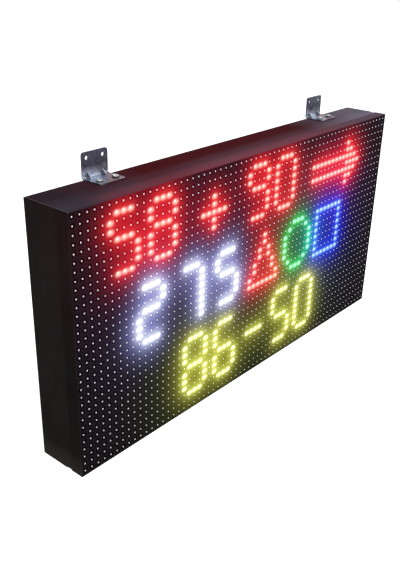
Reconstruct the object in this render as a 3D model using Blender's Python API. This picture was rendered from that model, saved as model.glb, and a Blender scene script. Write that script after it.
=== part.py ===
"""Outdoor colour LED matrix sign: four lamp modules in a black aluminium frame on two hanging brackets.

Metres, +Z up. The lamps face -Y, and +X is to the right as seen from the front. The origin is the middle
of the bottom, halfway through the depth. Depths are counted from the frame's front edge towards the rear,
and insets from the frame's outer face towards its inside.
"""
import math

import bmesh
import bpy
from mathutils import Matrix, Vector

# Clearances
SEAT_GAP = 0.0003
SCREW_CLEARANCE = 0.0004

# Lamp modules
LAMP_PITCH = 0.010
LAMPS_ACROSS = 32
LAMPS_UP = 16
COLUMN_NAMES = ("left", "right")
ROW_NAMES = ("bottom", "top")
MODULE_EDGE_TRIM = 0.0002
LOUVRE_DEPTH = 0.0002
LAMP_DEPTH = 0.0012
MASK_BACK_DEPTH = 0.0049
LOUVRE_DROP = 0.0015
BOARD_THICKNESS = 0.0016
BOARD_EDGE_INSET = 0.0008
BACK_FRAME_THICKNESS = 0.0086
BACK_FRAME_RIM = 0.004
BACK_FRAME_RIB = 0.003
BACK_FRAME_COLUMNS = 5
BACK_FRAME_ROWS = 1

# Plugs on the back of each module's board
DATA_PLUG_INSET = 0.045
DATA_PLUG_WIDTH = 0.009
DATA_PLUG_HEIGHT = 0.030
DATA_PLUG_DEPTH = 0.014
POWER_PLUG_WIDTH = 0.020
POWER_PLUG_HEIGHT = 0.010
POWER_PLUG_DEPTH = 0.016

# Frame rails
FRAME_DEPTH = 0.070
LIP_WALL = 0.0009
LIP_CHAMFER = 0.0003
RAIL_WALL = 0.0014
BAND_WIDTH = 0.0185
FINE_LINE_FIRST = 0.005
FINE_LINE_SPACING = 0.00475
FINE_LINE_COUNT = 3
FINE_LINE_WIDTH = 0.0009
FINE_LINE_DEPTH = 0.00035
GROOVE_WIDTH = 0.007
GROOVE_DEPTH = 0.0006
GROOVE_RAMP = 0.002
REAR_ROUND = 0.0018
SHELF_REACH = 0.013
SHELF_THICKNESS = 0.0015
FLANGE_REACH = 0.012
FLANGE_THICKNESS = 0.0012
MITRE_GAP = 0.0003

# Corner keys and the channel that holds them
KEY_WIDTH = 0.016
KEY_THICKNESS = 0.003
KEY_LEG = 0.045
CHANNEL_WALL = 0.0012
CHANNEL_LIP = 0.002

# Steel mounting strips that the modules hold on to
STRIP_THICKNESS = 0.0015
SIDE_STRIP_WIDTH = 0.024
MIDDLE_STRIP_WIDTH = 0.050
STRIP_SIDE_CLEARANCE = 0.0005
STRIP_SCREW_INSET = 0.008

# Rear cover
COVER_THICKNESS = 0.001
COVER_SCREW_INSET = 0.007
COVER_SCREW_SPACING = 0.270
COVER_SCREWS_PER_EDGE = 3
VENT_LENGTH = 0.030
VENT_WIDTH = 0.003
VENT_SPACING = 0.009
VENTS_PER_ROW = 4
VENT_ROW_INSET = 0.045
VENT_GROUP_OFFSET = 0.120

# Screws
SMALL_SHANK_RADIUS = 0.0015
SMALL_HEAD_RADIUS = 0.0029
SMALL_HEAD_HEIGHT = 0.0013
HEAD_CROWN_SHARE = 0.6
HEAD_EDGE_SHARE = 0.4
BRACKET_SHANK_RADIUS = 0.002
BRACKET_HEAD_RADIUS = 0.0042
BRACKET_HEAD_HEIGHT = 0.0024
BRACKET_SCREW_REACH = 0.008
COVER_SCREW_REACH = 0.006
SUPPLY_SCREW_REACH = 0.0045

# Hanging brackets
BRACKET_WIDTH = 0.038
BRACKET_RISE = 0.0307
BRACKET_FOOT = 0.0315
BRACKET_THICKNESS = 0.0018
BRACKET_BEND = 0.0016
BRACKET_CORNER = 0.003
BRACKET_HOLE_RADIUS = 0.0023
BRACKET_HOLE_SPACING = 0.0238
BRACKET_TOP_HOLE_DROP = 0.0067
BRACKET_FOOT_HOLE_DEPTH = 0.0215
BRACKET_RIB_SPACING = 0.022
BRACKET_RIB_WIDTH = 0.007
BRACKET_RIB_CREST = 0.0012
BRACKET_RIB_REACH = 0.007
LEFT_BRACKET_INSET = 0.098
RIGHT_BRACKET_INSET = 0.1025

# Power supply on the rear cover
SUPPLY_LENGTH = 0.200
SUPPLY_HEIGHT = 0.100
SUPPLY_THICKNESS = 0.030
SUPPLY_SHEET = 0.0015
SUPPLY_END_INSET = 0.060
SUPPLY_SCREW_END = 0.025
SUPPLY_SCREW_EDGE = 0.020
TERMINAL_LENGTH = 0.014
TERMINAL_BASE = 0.008
TERMINAL_BARRIER = 0.007
TERMINAL_BARRIER_THICKNESS = 0.0015
TERMINAL_COUNT = 7
LID_SLOT_LENGTH = 0.060
LID_SLOT_WIDTH = 0.003
LID_SLOT_SPACING = 0.012
LID_SLOT_COUNT = 6

# Control card, beside the left modules' data plugs
CARD_WIDTH = 0.060
CARD_HEIGHT = 0.100
CARD_THICKNESS = 0.0016
CARD_SIDE_INSET = 0.100
CARD_PLUG_RISE = 0.034
CARD_PAD_WIDTH = 0.040
CARD_PAD_HEIGHT = 0.060
CARD_PAD_THICKNESS = 0.002

# Wiring inside the frame
RIBBON_WIDTH = 0.0204
RIBBON_THICKNESS = 0.001
LEAD_RADIUS = 0.0016
LEAD_APPROACH = 0.040
LEAD_STEPS = 3

# Cable bush in the rear cover
BUSH_BORE_RADIUS = 0.004
BUSH_NECK_RADIUS = 0.0067
BUSH_FLANGE_RADIUS = 0.009
BUSH_INNER_FLANGE_RADIUS = 0.0085
BUSH_INNER_FLANGE_THICKNESS = 0.0015
BUSH_SIDE_INSET = 0.060
BUSH_BOTTOM_INSET = 0.040

# Facets of round pieces
HOLE_SIDES = 6
BRACKET_HOLE_SIDES = 10
SMALL_SCREW_SIDES = 7
BRACKET_SCREW_SIDES = 10
BUSH_SIDES = 10
CORNER_STEPS = 3
SLOT_END_STEPS = 2
LEAD_BEVEL_STEPS = 1
SMOOTH_ANGLE = math.radians(35)

# Sizes that follow from the ones above
MODULE_WIDTH = LAMPS_ACROSS * LAMP_PITCH
MODULE_HEIGHT = LAMPS_UP * LAMP_PITCH
RAIL_MARGIN = LIP_WALL + SEAT_GAP - MODULE_EDGE_TRIM
FRAME_WIDTH = len(COLUMN_NAMES) * MODULE_WIDTH + 2 * RAIL_MARGIN
FRAME_HEIGHT = len(ROW_NAMES) * MODULE_HEIGHT + 2 * RAIL_MARGIN
RAIL_INNER = GROOVE_DEPTH + RAIL_WALL
BOARD_FRONT = MASK_BACK_DEPTH + SEAT_GAP
BOARD_BACK = BOARD_FRONT + BOARD_THICKNESS
BACK_FRAME_FRONT = BOARD_BACK + SEAT_GAP
BACK_FRAME_BACK = BACK_FRAME_FRONT + BACK_FRAME_THICKNESS
STRIP_FRONT = BACK_FRAME_BACK + SEAT_GAP
STRIP_BACK = STRIP_FRONT + STRIP_THICKNESS
SHELF_FRONT = STRIP_BACK + SEAT_GAP
SHELF_BACK = SHELF_FRONT + SHELF_THICKNESS
COVER_BACK = FRAME_DEPTH - SMALL_HEAD_HEIGHT - SEAT_GAP
COVER_FRONT = COVER_BACK - COVER_THICKNESS
FLANGE_BACK = COVER_FRONT - SEAT_GAP
FLANGE_FRONT = FLANGE_BACK - FLANGE_THICKNESS
INNER_SEAT = COVER_FRONT - SEAT_GAP
SUPPLY_FRONT = INNER_SEAT - SUPPLY_THICKNESS
CARD_BACK = INNER_SEAT - CARD_PAD_THICKNESS - SEAT_GAP
CARD_FRONT = CARD_BACK - CARD_THICKNESS
KEY_MIDDLE_DEPTH = FRAME_DEPTH - BRACKET_FOOT_HOLE_DEPTH
SMALL_HOLE_RADIUS = SMALL_SHANK_RADIUS + SCREW_CLEARANCE
BRACKET_SCREW_Y = FRAME_DEPTH / 2 - BRACKET_FOOT_HOLE_DEPTH
SUPPLY_RIGHT = FRAME_WIDTH / 2 - SUPPLY_END_INSET
SUPPLY_LEFT = SUPPLY_RIGHT - SUPPLY_LENGTH
SUPPLY_MIDDLE_X = (SUPPLY_LEFT + SUPPLY_RIGHT) / 2
MIDDLE_Z = FRAME_HEIGHT / 2
CARD_MIDDLE_X = CARD_SIDE_INSET - FRAME_WIDTH / 2

TURNS = {"y": Matrix.Rotation(-math.pi / 2, 4, "X"), "z": Matrix.Identity(4)}
FACING_REAR = (-math.pi / 2, 0.0, 0.0)
FACING_UP = (0.0, 0.0, 0.0)


def behind(distance):
    """World y of the plane this far behind the frame's front edge."""
    return distance - FRAME_DEPTH / 2


def clear_scene():
    for item in list(bpy.data.objects):
        bpy.data.objects.remove(item, do_unlink=True)


def finish(name, colour, roughness, metallic=0.0):
    """A Principled material."""
    made = bpy.data.materials.new(name)
    made.use_nodes = True
    shader = made.node_tree.nodes["Principled BSDF"]
    shader.inputs["Base Color"].default_value = (*colour, 1.0)
    shader.inputs["Roughness"].default_value = roughness
    shader.inputs["Metallic"].default_value = metallic
    return made


def add_solid(name, mesh, material):
    """Turn a bmesh into a named object."""
    data = bpy.data.meshes.new(name)
    mesh.to_mesh(data)
    mesh.free()
    if material:
        data.materials.append(material)
    solid = bpy.data.objects.new(name, data)
    bpy.context.scene.collection.objects.link(solid)
    return solid


def shade_round(solid):
    solid.data.shade_smooth()
    solid.data.set_sharp_from_angle(angle=SMOOTH_ANGLE)


def rectangle(low_u, low_v, high_u, high_v):
    return [(low_u, low_v), (high_u, low_v), (high_u, high_v), (low_u, high_v)]


def circle(middle_u, middle_v, radius, sides):
    turn = 2 * math.pi / sides
    return [
        (middle_u + radius * math.cos(turn * i), middle_v + radius * math.sin(turn * i))
        for i in range(sides)
    ]


def slot(middle_u, middle_v, length, width, steps):
    """A round-ended slot whose long side runs along v."""
    radius = width / 2
    reach = length / 2 - radius
    points = []
    for end, start in ((reach, 0.0), (-reach, math.pi)):
        for i in range(steps + 1):
            angle = start + math.pi * i / steps
            points.append((middle_u + radius * math.cos(angle), middle_v + end + radius * math.sin(angle)))
    return points


def prism(plane, loops, low, high):
    """A closed prism. The first loop is the outline in the named plane, the others are holes in it."""
    first, second = ("xyz".index(letter) for letter in plane)
    along = 3 - first - second
    mesh = bmesh.new()
    for loop in loops:
        ring = []
        for u, v in loop:
            place = [0.0, 0.0, 0.0]
            place[first] = u
            place[second] = v
            place[along] = low
            ring.append(mesh.verts.new(place))
        for start, end in zip(ring, ring[1:] + ring[:1]):
            mesh.edges.new((start, end))
    bmesh.ops.triangle_fill(mesh, use_beauty=True, use_dissolve=False, edges=mesh.edges[:])
    grown = bmesh.ops.extrude_face_region(mesh, geom=mesh.faces[:])
    shift = Vector((0.0, 0.0, 0.0))
    shift[along] = high - low
    moved = [item for item in grown["geom"] if isinstance(item, bmesh.types.BMVert)]
    bmesh.ops.translate(mesh, verts=moved, vec=shift)
    bmesh.ops.recalc_face_normals(mesh, faces=mesh.faces[:])
    return mesh


def add_block(mesh, low, high):
    """Add a box to a bmesh."""
    size = Vector(high) - Vector(low)
    middle = (Vector(high) + Vector(low)) / 2
    place = Matrix.Translation(middle) @ Matrix.Diagonal((*size, 1.0))
    bmesh.ops.create_cube(mesh, size=1.0, matrix=place)


def turned(profile, sides, closed=False):
    """A solid turned about z from (radius, height) points, a ring where the profile is closed."""
    mesh = bmesh.new()
    rings = []
    for radius, height in profile:
        if radius == 0:
            rings.append([mesh.verts.new((0.0, 0.0, height))] * sides)
            continue
        ring = [mesh.verts.new((u, v, height)) for u, v in circle(0.0, 0.0, radius, sides)]
        rings.append(ring)
    pairs = list(zip(rings, rings[1:]))
    if closed:
        pairs.append((rings[-1], rings[0]))
    for lower, upper in pairs:
        for i in range(sides):
            corners = [lower[i], lower[(i + 1) % sides], upper[(i + 1) % sides], upper[i]]
            mesh.faces.new(list(dict.fromkeys(corners)))
    bmesh.ops.recalc_face_normals(mesh, faces=mesh.faces[:])
    return mesh


def join_or_cut(solid, tool, operation):
    """Join a second mesh to a solid or cut it away. The tool is in the solid's own axes."""
    tool.parent = solid
    tool.hide_render = True
    tool.display_type = "WIRE"
    change = solid.modifiers.new(tool.name, "BOOLEAN")
    change.operation = operation
    change.solver = "EXACT"
    change.object = tool


def drill(solid, holes, sides):
    """Cut round holes, each a middle point, an axis letter, a radius and a length in the solid's own axes."""
    mesh = bmesh.new()
    for middle, axis, radius, length in holes:
        place = Matrix.Translation(middle) @ TURNS[axis]
        bmesh.ops.create_cone(
            mesh, cap_ends=True, segments=sides, radius1=radius, radius2=radius, depth=length, matrix=place
        )
    join_or_cut(solid, add_solid(solid.name + "_holes", mesh, None), "DIFFERENCE")


def add_screw(name, place, axis_turn, shank_radius, head_radius, head_height, reach, sides, material):
    """A pan-head screw whose shank runs along its own -z from under the head at its origin."""
    profile = [
        (0.0, head_height),
        (head_radius * HEAD_CROWN_SHARE, head_height),
        (head_radius, head_height * HEAD_EDGE_SHARE),
        (head_radius, 0.0),
        (shank_radius, 0.0),
        (shank_radius, -reach),
        (0.0, -reach),
    ]
    screw = add_solid(name, turned(profile, sides), material)
    shade_round(screw)
    screw.location = place
    screw.rotation_euler = axis_turn
    return screw


def rail_section():
    """Outline of the frame extrusion as (depth, inset) points, once round."""
    points = [(0.0, LIP_CHAMFER), (LIP_CHAMFER, 0.0)]
    for i in range(FINE_LINE_COUNT):
        middle = FINE_LINE_FIRST + i * FINE_LINE_SPACING
        points.append((middle - FINE_LINE_WIDTH / 2, 0.0))
        points.append((middle, FINE_LINE_DEPTH))
        points.append((middle + FINE_LINE_WIDTH / 2, 0.0))
    groove_end = BAND_WIDTH + GROOVE_WIDTH
    points += [(BAND_WIDTH, 0.0), (BAND_WIDTH, GROOVE_DEPTH)]
    points += [(groove_end, GROOVE_DEPTH), (groove_end + GROOVE_RAMP, 0.0)]
    for i in range(CORNER_STEPS + 1):
        angle = math.pi / 2 * i / CORNER_STEPS
        across = FRAME_DEPTH - REAR_ROUND + REAR_ROUND * math.sin(angle)
        points.append((across, REAR_ROUND - REAR_ROUND * math.cos(angle)))
    points += [(FRAME_DEPTH, RAIL_INNER), (FLANGE_BACK, RAIL_INNER), (FLANGE_BACK, FLANGE_REACH)]
    points += [(FLANGE_FRONT, FLANGE_REACH), (FLANGE_FRONT, RAIL_INNER)]
    points += channel_hook(1) + channel_hook(-1)[::-1]
    points += [(SHELF_BACK, RAIL_INNER), (SHELF_BACK, SHELF_REACH), (SHELF_FRONT, SHELF_REACH)]
    points += [(SHELF_FRONT, LIP_WALL), (0.0, LIP_WALL)]
    return points


def channel_hook(side):
    """One of the two hooks that hold the corner key, from its outer foot round to its inner foot."""
    face = KEY_MIDDLE_DEPTH + side * (KEY_WIDTH / 2 + SEAT_GAP)
    under = RAIL_INNER + KEY_THICKNESS + 2 * SEAT_GAP
    over = under + CHANNEL_WALL
    return [
        (face + side * CHANNEL_WALL, RAIL_INNER),
        (face + side * CHANNEL_WALL, over),
        (face - side * CHANNEL_LIP, over),
        (face - side * CHANNEL_LIP, under),
        (face, under),
        (face, RAIL_INNER),
    ]


def add_rail(name, span, place, turn, material):
    """A rail with mitred ends, its outer face at its own z = 0 and its inside towards -z."""
    mesh = bmesh.new()
    set_back = MITRE_GAP / math.sqrt(2)
    ends = []
    for side in (-1, 1):
        ring = []
        for depth, inset in rail_section():
            ring.append(mesh.verts.new((side * (span / 2 - inset - set_back), behind(depth), -inset)))
        mesh.faces.new(ring)
        ends.append(ring)
    count = len(ends[0])
    for i in range(count):
        follower = (i + 1) % count
        mesh.faces.new([ends[0][i], ends[0][follower], ends[1][follower], ends[1][i]])
    bmesh.ops.recalc_face_normals(mesh, faces=mesh.faces[:])
    rail = add_solid(name, mesh, material)
    rail.location = place
    rail.rotation_euler = (0.0, turn, 0.0)
    return rail


def cover_screw_places():
    """Cover screw positions along the top and bottom rails."""
    middle = (COVER_SCREWS_PER_EDGE - 1) / 2
    return [(i - middle) * COVER_SCREW_SPACING for i in range(COVER_SCREWS_PER_EDGE)]


def side_strip_x():
    return FRAME_WIDTH / 2 - SHELF_REACH - STRIP_SIDE_CLEARANCE - SIDE_STRIP_WIDTH / 2


def strip_layout():
    """Name, middle and width of each mounting strip."""
    return [
        ("left", -side_strip_x(), SIDE_STRIP_WIDTH),
        ("middle", 0.0, MIDDLE_STRIP_WIDTH),
        ("right", side_strip_x(), SIDE_STRIP_WIDTH),
    ]


def bracket_places():
    return [
        ("left", LEFT_BRACKET_INSET - FRAME_WIDTH / 2),
        ("right", FRAME_WIDTH / 2 - RIGHT_BRACKET_INSET),
    ]


def bracket_hole_offsets():
    return [("left", -BRACKET_HOLE_SPACING / 2), ("right", BRACKET_HOLE_SPACING / 2)]


def add_frame(material):
    """Four mitred rails. The top and bottom ones are drilled for the cover, the strips and the brackets."""
    top = add_rail("top_rail", FRAME_WIDTH, (0.0, 0.0, FRAME_HEIGHT), 0.0, material)
    bottom = add_rail("bottom_rail", FRAME_WIDTH, (0.0, 0.0, 0.0), math.pi, material)
    add_rail("left_rail", FRAME_HEIGHT, (-FRAME_WIDTH / 2, 0.0, MIDDLE_Z), -math.pi / 2, material)
    add_rail("right_rail", FRAME_HEIGHT, (FRAME_WIDTH / 2, 0.0, MIDDLE_Z), math.pi / 2, material)
    shared = []
    for across in cover_screw_places():
        middle = (across, behind((FLANGE_FRONT + FLANGE_BACK) / 2), -COVER_SCREW_INSET)
        shared.append((middle, "y", SMALL_HOLE_RADIUS, 3 * FLANGE_THICKNESS))
    for _, across, _ in strip_layout():
        middle = (across, behind((SHELF_FRONT + SHELF_BACK) / 2), -STRIP_SCREW_INSET)
        shared.append((middle, "y", SMALL_HOLE_RADIUS, 3 * SHELF_THICKNESS))
    hanging = []
    for _, across in bracket_places():
        for _, offset in bracket_hole_offsets():
            middle = (across + offset, BRACKET_SCREW_Y, -RAIL_INNER / 2)
            hanging.append((middle, "z", BRACKET_SHANK_RADIUS + SCREW_CLEARANCE, 3 * RAIL_INNER))
    drill(top, shared + hanging, HOLE_SIDES)
    drill(bottom, shared, HOLE_SIDES)


def add_corner_keys(material):
    """Flat L-shaped keys in the rails' channels, one at each corner."""
    outer = RAIL_INNER + SEAT_GAP
    inner = outer + KEY_THICKNESS
    for row, up in (("bottom", -1), ("top", 1)):
        for column, across in (("left", -1), ("right", 1)):
            corner_x = FRAME_WIDTH / 2
            corner_z = FRAME_HEIGHT / 2
            outline = [
                (corner_x - outer, corner_z - outer),
                (corner_x - outer - KEY_LEG, corner_z - outer),
                (corner_x - outer - KEY_LEG, corner_z - inner),
                (corner_x - inner, corner_z - inner),
                (corner_x - inner, corner_z - outer - KEY_LEG),
                (corner_x - outer, corner_z - outer - KEY_LEG),
            ]
            loop = [(across * x, MIDDLE_Z + up * z) for x, z in outline]
            near = behind(KEY_MIDDLE_DEPTH - KEY_WIDTH / 2)
            add_solid(f"corner_key_{row}_{column}", prism("xz", [loop], near, near + KEY_WIDTH), material)


def mask_rims():
    """The lines where the lamps' funnels meet: the upright ones' x and the louvres' z."""
    half_width = MODULE_WIDTH / 2 - MODULE_EDGE_TRIM
    half_height = MODULE_HEIGHT / 2 - MODULE_EDGE_TRIM
    inner_x = [column * LAMP_PITCH - MODULE_WIDTH / 2 for column in range(1, LAMPS_ACROSS)]
    inner_z = [row * LAMP_PITCH - MODULE_HEIGHT / 2 - LOUVRE_DROP for row in range(1, LAMPS_UP)]
    return [-half_width, *inner_x, half_width], [-half_height, *inner_z, half_height]


def close_edge(mesh, front, first, last):
    """Join a row of front points to the two back corners behind its ends."""
    middle = len(front) // 2
    for i in range(len(front) - 1):
        mesh.faces.new([front[i], front[i + 1], first if i < middle else last])
    mesh.faces.new([front[middle], first, last])


def mask_mesh():
    """A moulded plate with a funnel round each lamp, which a louvre shades from close above."""
    across, up = mask_rims()
    mesh = bmesh.new()
    rims = [[mesh.verts.new((x, behind(LOUVRE_DEPTH), z)) for x in across] for z in up]
    for row in range(LAMPS_UP):
        lamp_z = row * LAMP_PITCH + (LAMP_PITCH - MODULE_HEIGHT) / 2
        for column in range(LAMPS_ACROSS):
            lamp_x = column * LAMP_PITCH + (LAMP_PITCH - MODULE_WIDTH) / 2
            lamp = mesh.verts.new((lamp_x, behind(LAMP_DEPTH), lamp_z))
            below = rims[row][column:column + 2]
            above = rims[row + 1][column:column + 2]
            ring = [*below, *above[::-1]]
            for start, end in zip(ring, ring[1:] + ring[:1]):
                mesh.faces.new([start, end, lamp])
    corners = [(across[0], up[0]), (across[-1], up[0]), (across[-1], up[-1]), (across[0], up[-1])]
    back = [mesh.verts.new((x, behind(MASK_BACK_DEPTH), z)) for x, z in corners]
    mesh.faces.new(back)
    close_edge(mesh, rims[0], back[0], back[1])
    close_edge(mesh, [rim[-1] for rim in rims], back[1], back[2])
    close_edge(mesh, rims[-1], back[3], back[2])
    close_edge(mesh, [rim[0] for rim in rims], back[0], back[3])
    bmesh.ops.recalc_face_normals(mesh, faces=mesh.faces[:])
    return mesh


def board_mesh():
    """A circuit board with its data plugs near both ends and its power plug in the middle."""
    half_width = MODULE_WIDTH / 2 - MODULE_EDGE_TRIM - BOARD_EDGE_INSET
    half_height = MODULE_HEIGHT / 2 - MODULE_EDGE_TRIM - BOARD_EDGE_INSET
    outline = rectangle(-half_width, -half_height, half_width, half_height)
    return prism("xz", [outline], behind(BOARD_FRONT), behind(BOARD_BACK))


def board_plugs_mesh():
    mesh = bmesh.new()
    root = behind(BOARD_BACK) - BOARD_THICKNESS / 2
    plug_x = MODULE_WIDTH / 2 - DATA_PLUG_INSET
    for middle in (-plug_x, plug_x):
        low = (middle - DATA_PLUG_WIDTH / 2, root, -DATA_PLUG_HEIGHT / 2)
        high = (middle + DATA_PLUG_WIDTH / 2, behind(BOARD_BACK) + DATA_PLUG_DEPTH, DATA_PLUG_HEIGHT / 2)
        add_block(mesh, low, high)
    low = (-POWER_PLUG_WIDTH / 2, root, -POWER_PLUG_HEIGHT / 2)
    high = (POWER_PLUG_WIDTH / 2, behind(BOARD_BACK) + POWER_PLUG_DEPTH, POWER_PLUG_HEIGHT / 2)
    add_block(mesh, low, high)
    return mesh


def back_frame_mesh():
    """A moulded lattice that stiffens the module and rests on the mounting strips."""
    half_width = MODULE_WIDTH / 2 - MODULE_EDGE_TRIM
    half_height = MODULE_HEIGHT / 2 - MODULE_EDGE_TRIM
    cell_width = (2 * half_width - 2 * BACK_FRAME_RIM + BACK_FRAME_RIB) / BACK_FRAME_COLUMNS
    cell_height = (2 * half_height - 2 * BACK_FRAME_RIM + BACK_FRAME_RIB) / BACK_FRAME_ROWS
    loops = [rectangle(-half_width, -half_height, half_width, half_height)]
    for column in range(BACK_FRAME_COLUMNS):
        for row in range(BACK_FRAME_ROWS):
            low_x = -half_width + BACK_FRAME_RIM + column * cell_width
            low_z = -half_height + BACK_FRAME_RIM + row * cell_height
            high_x = low_x + cell_width - BACK_FRAME_RIB
            high_z = low_z + cell_height - BACK_FRAME_RIB
            loops.append(rectangle(low_x, low_z, high_x, high_z))
    return prism("xz", loops, behind(BACK_FRAME_FRONT), behind(BACK_FRAME_BACK))


def module_places():
    """Name and middle of each module's face."""
    places = []
    for row, row_name in enumerate(ROW_NAMES):
        for column, column_name in enumerate(COLUMN_NAMES):
            across = (column - (len(COLUMN_NAMES) - 1) / 2) * MODULE_WIDTH
            up = MIDDLE_Z + (row - (len(ROW_NAMES) - 1) / 2) * MODULE_HEIGHT
            places.append((f"{row_name}_{column_name}", (across, 0.0, up)))
    return places


def add_modules(mask_finish, board_finish, plastic_finish):
    """A mask, a board and a back frame for each module."""
    for name, place in module_places():
        mask = add_solid(f"mask_{name}", mask_mesh(), mask_finish)
        board = add_solid(f"board_{name}", board_mesh(), board_finish)
        join_or_cut(board, add_solid(f"board_{name}_plugs", board_plugs_mesh(), None), "UNION")
        back_frame = add_solid(f"back_frame_{name}", back_frame_mesh(), plastic_finish)
        for piece in (mask, board, back_frame):
            piece.location = place


def add_mounting_strips(strip_finish, screw_finish):
    """Steel strips behind the modules, screwed to the shelves of the top and bottom rails."""
    end = LIP_WALL + SEAT_GAP
    for name, across, width in strip_layout():
        loops = [rectangle(across - width / 2, end, across + width / 2, FRAME_HEIGHT - end)]
        for row, height in (("bottom", STRIP_SCREW_INSET), ("top", FRAME_HEIGHT - STRIP_SCREW_INSET)):
            loops.append(circle(across, height, SMALL_HOLE_RADIUS, HOLE_SIDES))
            head = (across, behind(SHELF_BACK + SEAT_GAP), height)
            reach = SHELF_BACK - STRIP_FRONT
            add_screw(
                f"strip_screw_{row}_{name}", head, FACING_REAR, SMALL_SHANK_RADIUS,
                SMALL_HEAD_RADIUS, SMALL_HEAD_HEIGHT, reach, SMALL_SCREW_SIDES, screw_finish,
            )
        mesh = prism("xz", loops, behind(STRIP_FRONT), behind(STRIP_BACK))
        add_solid(f"mounting_strip_{name}", mesh, strip_finish)


def supply_screw_places():
    """Screw positions of the power supply, seen from the front."""
    places = []
    for row, edge in (("bottom", -1), ("top", 1)):
        for column, end in (("left", -1), ("right", 1)):
            across = SUPPLY_MIDDLE_X + end * (SUPPLY_LENGTH / 2 - SUPPLY_SCREW_END)
            up = MIDDLE_Z + edge * (SUPPLY_HEIGHT / 2 - SUPPLY_SCREW_EDGE)
            places.append((f"{row}_{column}", across, up))
    return places


def bush_place():
    return FRAME_WIDTH / 2 - BUSH_SIDE_INSET, BUSH_BOTTOM_INSET


def vent_loops():
    """Rows of upright vent slots near the top and the bottom of the cover."""
    loops = []
    first = -(VENTS_PER_ROW - 1) / 2 * VENT_SPACING
    for up in (VENT_ROW_INSET, FRAME_HEIGHT - VENT_ROW_INSET):
        for group in (-VENT_GROUP_OFFSET, VENT_GROUP_OFFSET):
            for i in range(VENTS_PER_ROW):
                across = group + first + i * VENT_SPACING
                loops.append(slot(across, up, VENT_LENGTH, VENT_WIDTH, SLOT_END_STEPS))
    return loops


def add_rear_cover(cover_finish, screw_finish):
    """A flat sheet on the rails' rear flanges, with its screws."""
    end = RAIL_INNER + SEAT_GAP
    loops = [rectangle(end - FRAME_WIDTH / 2, end, FRAME_WIDTH / 2 - end, FRAME_HEIGHT - end)]
    for row, up in (("bottom", COVER_SCREW_INSET), ("top", FRAME_HEIGHT - COVER_SCREW_INSET)):
        for number, across in enumerate(cover_screw_places(), start=1):
            loops.append(circle(across, up, SMALL_HOLE_RADIUS, HOLE_SIDES))
            add_rear_screw(f"cover_screw_{row}_{number}", across, up, COVER_SCREW_REACH, screw_finish)
    for name, across, up in supply_screw_places():
        loops.append(circle(across, up, SMALL_HOLE_RADIUS, HOLE_SIDES))
        add_rear_screw(f"supply_screw_{name}", across, up, SUPPLY_SCREW_REACH, screw_finish)
    bush_x, bush_z = bush_place()
    loops.append(circle(bush_x, bush_z, BUSH_NECK_RADIUS + SEAT_GAP, BUSH_SIDES))
    loops += vent_loops()
    add_solid("rear_cover", prism("xz", loops, behind(COVER_FRONT), behind(COVER_BACK)), cover_finish)


def add_rear_screw(name, across, up, reach, material):
    """A screw put in from the rear, its head on the cover."""
    add_screw(
        name, (across, behind(COVER_BACK + SEAT_GAP), up), FACING_REAR, SMALL_SHANK_RADIUS,
        SMALL_HEAD_RADIUS, SMALL_HEAD_HEIGHT, reach, SMALL_SCREW_SIDES, material,
    )


def add_cable_bush(material):
    """A rubber bush in the cover. Its flanges hold the sheet between them."""
    rear = FRAME_DEPTH - COVER_BACK
    near = SEAT_GAP
    far = -COVER_THICKNESS - SEAT_GAP
    profile = [
        (BUSH_BORE_RADIUS, rear),
        (BUSH_FLANGE_RADIUS, rear),
        (BUSH_FLANGE_RADIUS, near),
        (BUSH_NECK_RADIUS, near),
        (BUSH_NECK_RADIUS, far),
        (BUSH_INNER_FLANGE_RADIUS, far),
        (BUSH_INNER_FLANGE_RADIUS, far - BUSH_INNER_FLANGE_THICKNESS),
        (BUSH_BORE_RADIUS, far - BUSH_INNER_FLANGE_THICKNESS),
    ]
    bush = add_solid("cable_bush", turned(profile, BUSH_SIDES, closed=True), material)
    shade_round(bush)
    bush_x, bush_z = bush_place()
    bush.location = (bush_x, behind(COVER_BACK), bush_z)
    bush.rotation_euler = FACING_REAR


def bracket_outline():
    """Side view of a bracket: (y, z) from the tip of the foot to the top of the upright."""
    rear = FRAME_DEPTH / 2
    low = FRAME_HEIGHT + SEAT_GAP
    outer = BRACKET_BEND + BRACKET_THICKNESS
    centre_y = rear - outer
    centre_z = low + outer
    tip = rear - BRACKET_FOOT
    top = FRAME_HEIGHT + BRACKET_RISE
    points = [(tip, low + BRACKET_THICKNESS), (tip, low)]
    for i in range(CORNER_STEPS + 1):
        angle = math.pi / 2 * i / CORNER_STEPS
        points.append((centre_y + outer * math.sin(angle), centre_z - outer * math.cos(angle)))
    points += [(rear, top), (rear - BRACKET_THICKNESS, top)]
    for i in range(CORNER_STEPS + 1):
        angle = math.pi / 2 * (1 - i / CORNER_STEPS)
        points.append((centre_y + BRACKET_BEND * math.sin(angle), centre_z - BRACKET_BEND * math.cos(angle)))
    return points


def round_bracket_corners(mesh):
    """Round the free corners of both legs."""
    tip = FRAME_DEPTH / 2 - BRACKET_FOOT
    top = FRAME_HEIGHT + BRACKET_RISE
    near = BRACKET_THICKNESS / 4
    corners = []
    for edge in mesh.edges:
        start, end = (vertex.co for vertex in edge.verts)
        if abs(start.x - end.x) > near:
            continue
        at_tip = abs(start.y - tip) < near and abs(end.y - tip) < near
        at_top = abs(start.z - top) < near and abs(end.z - top) < near
        if at_tip or at_top:
            corners.append(edge)
    bmesh.ops.bevel(
        mesh, geom=corners, offset=BRACKET_CORNER, segments=CORNER_STEPS, profile=0.5, affect="EDGES"
    )


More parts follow.
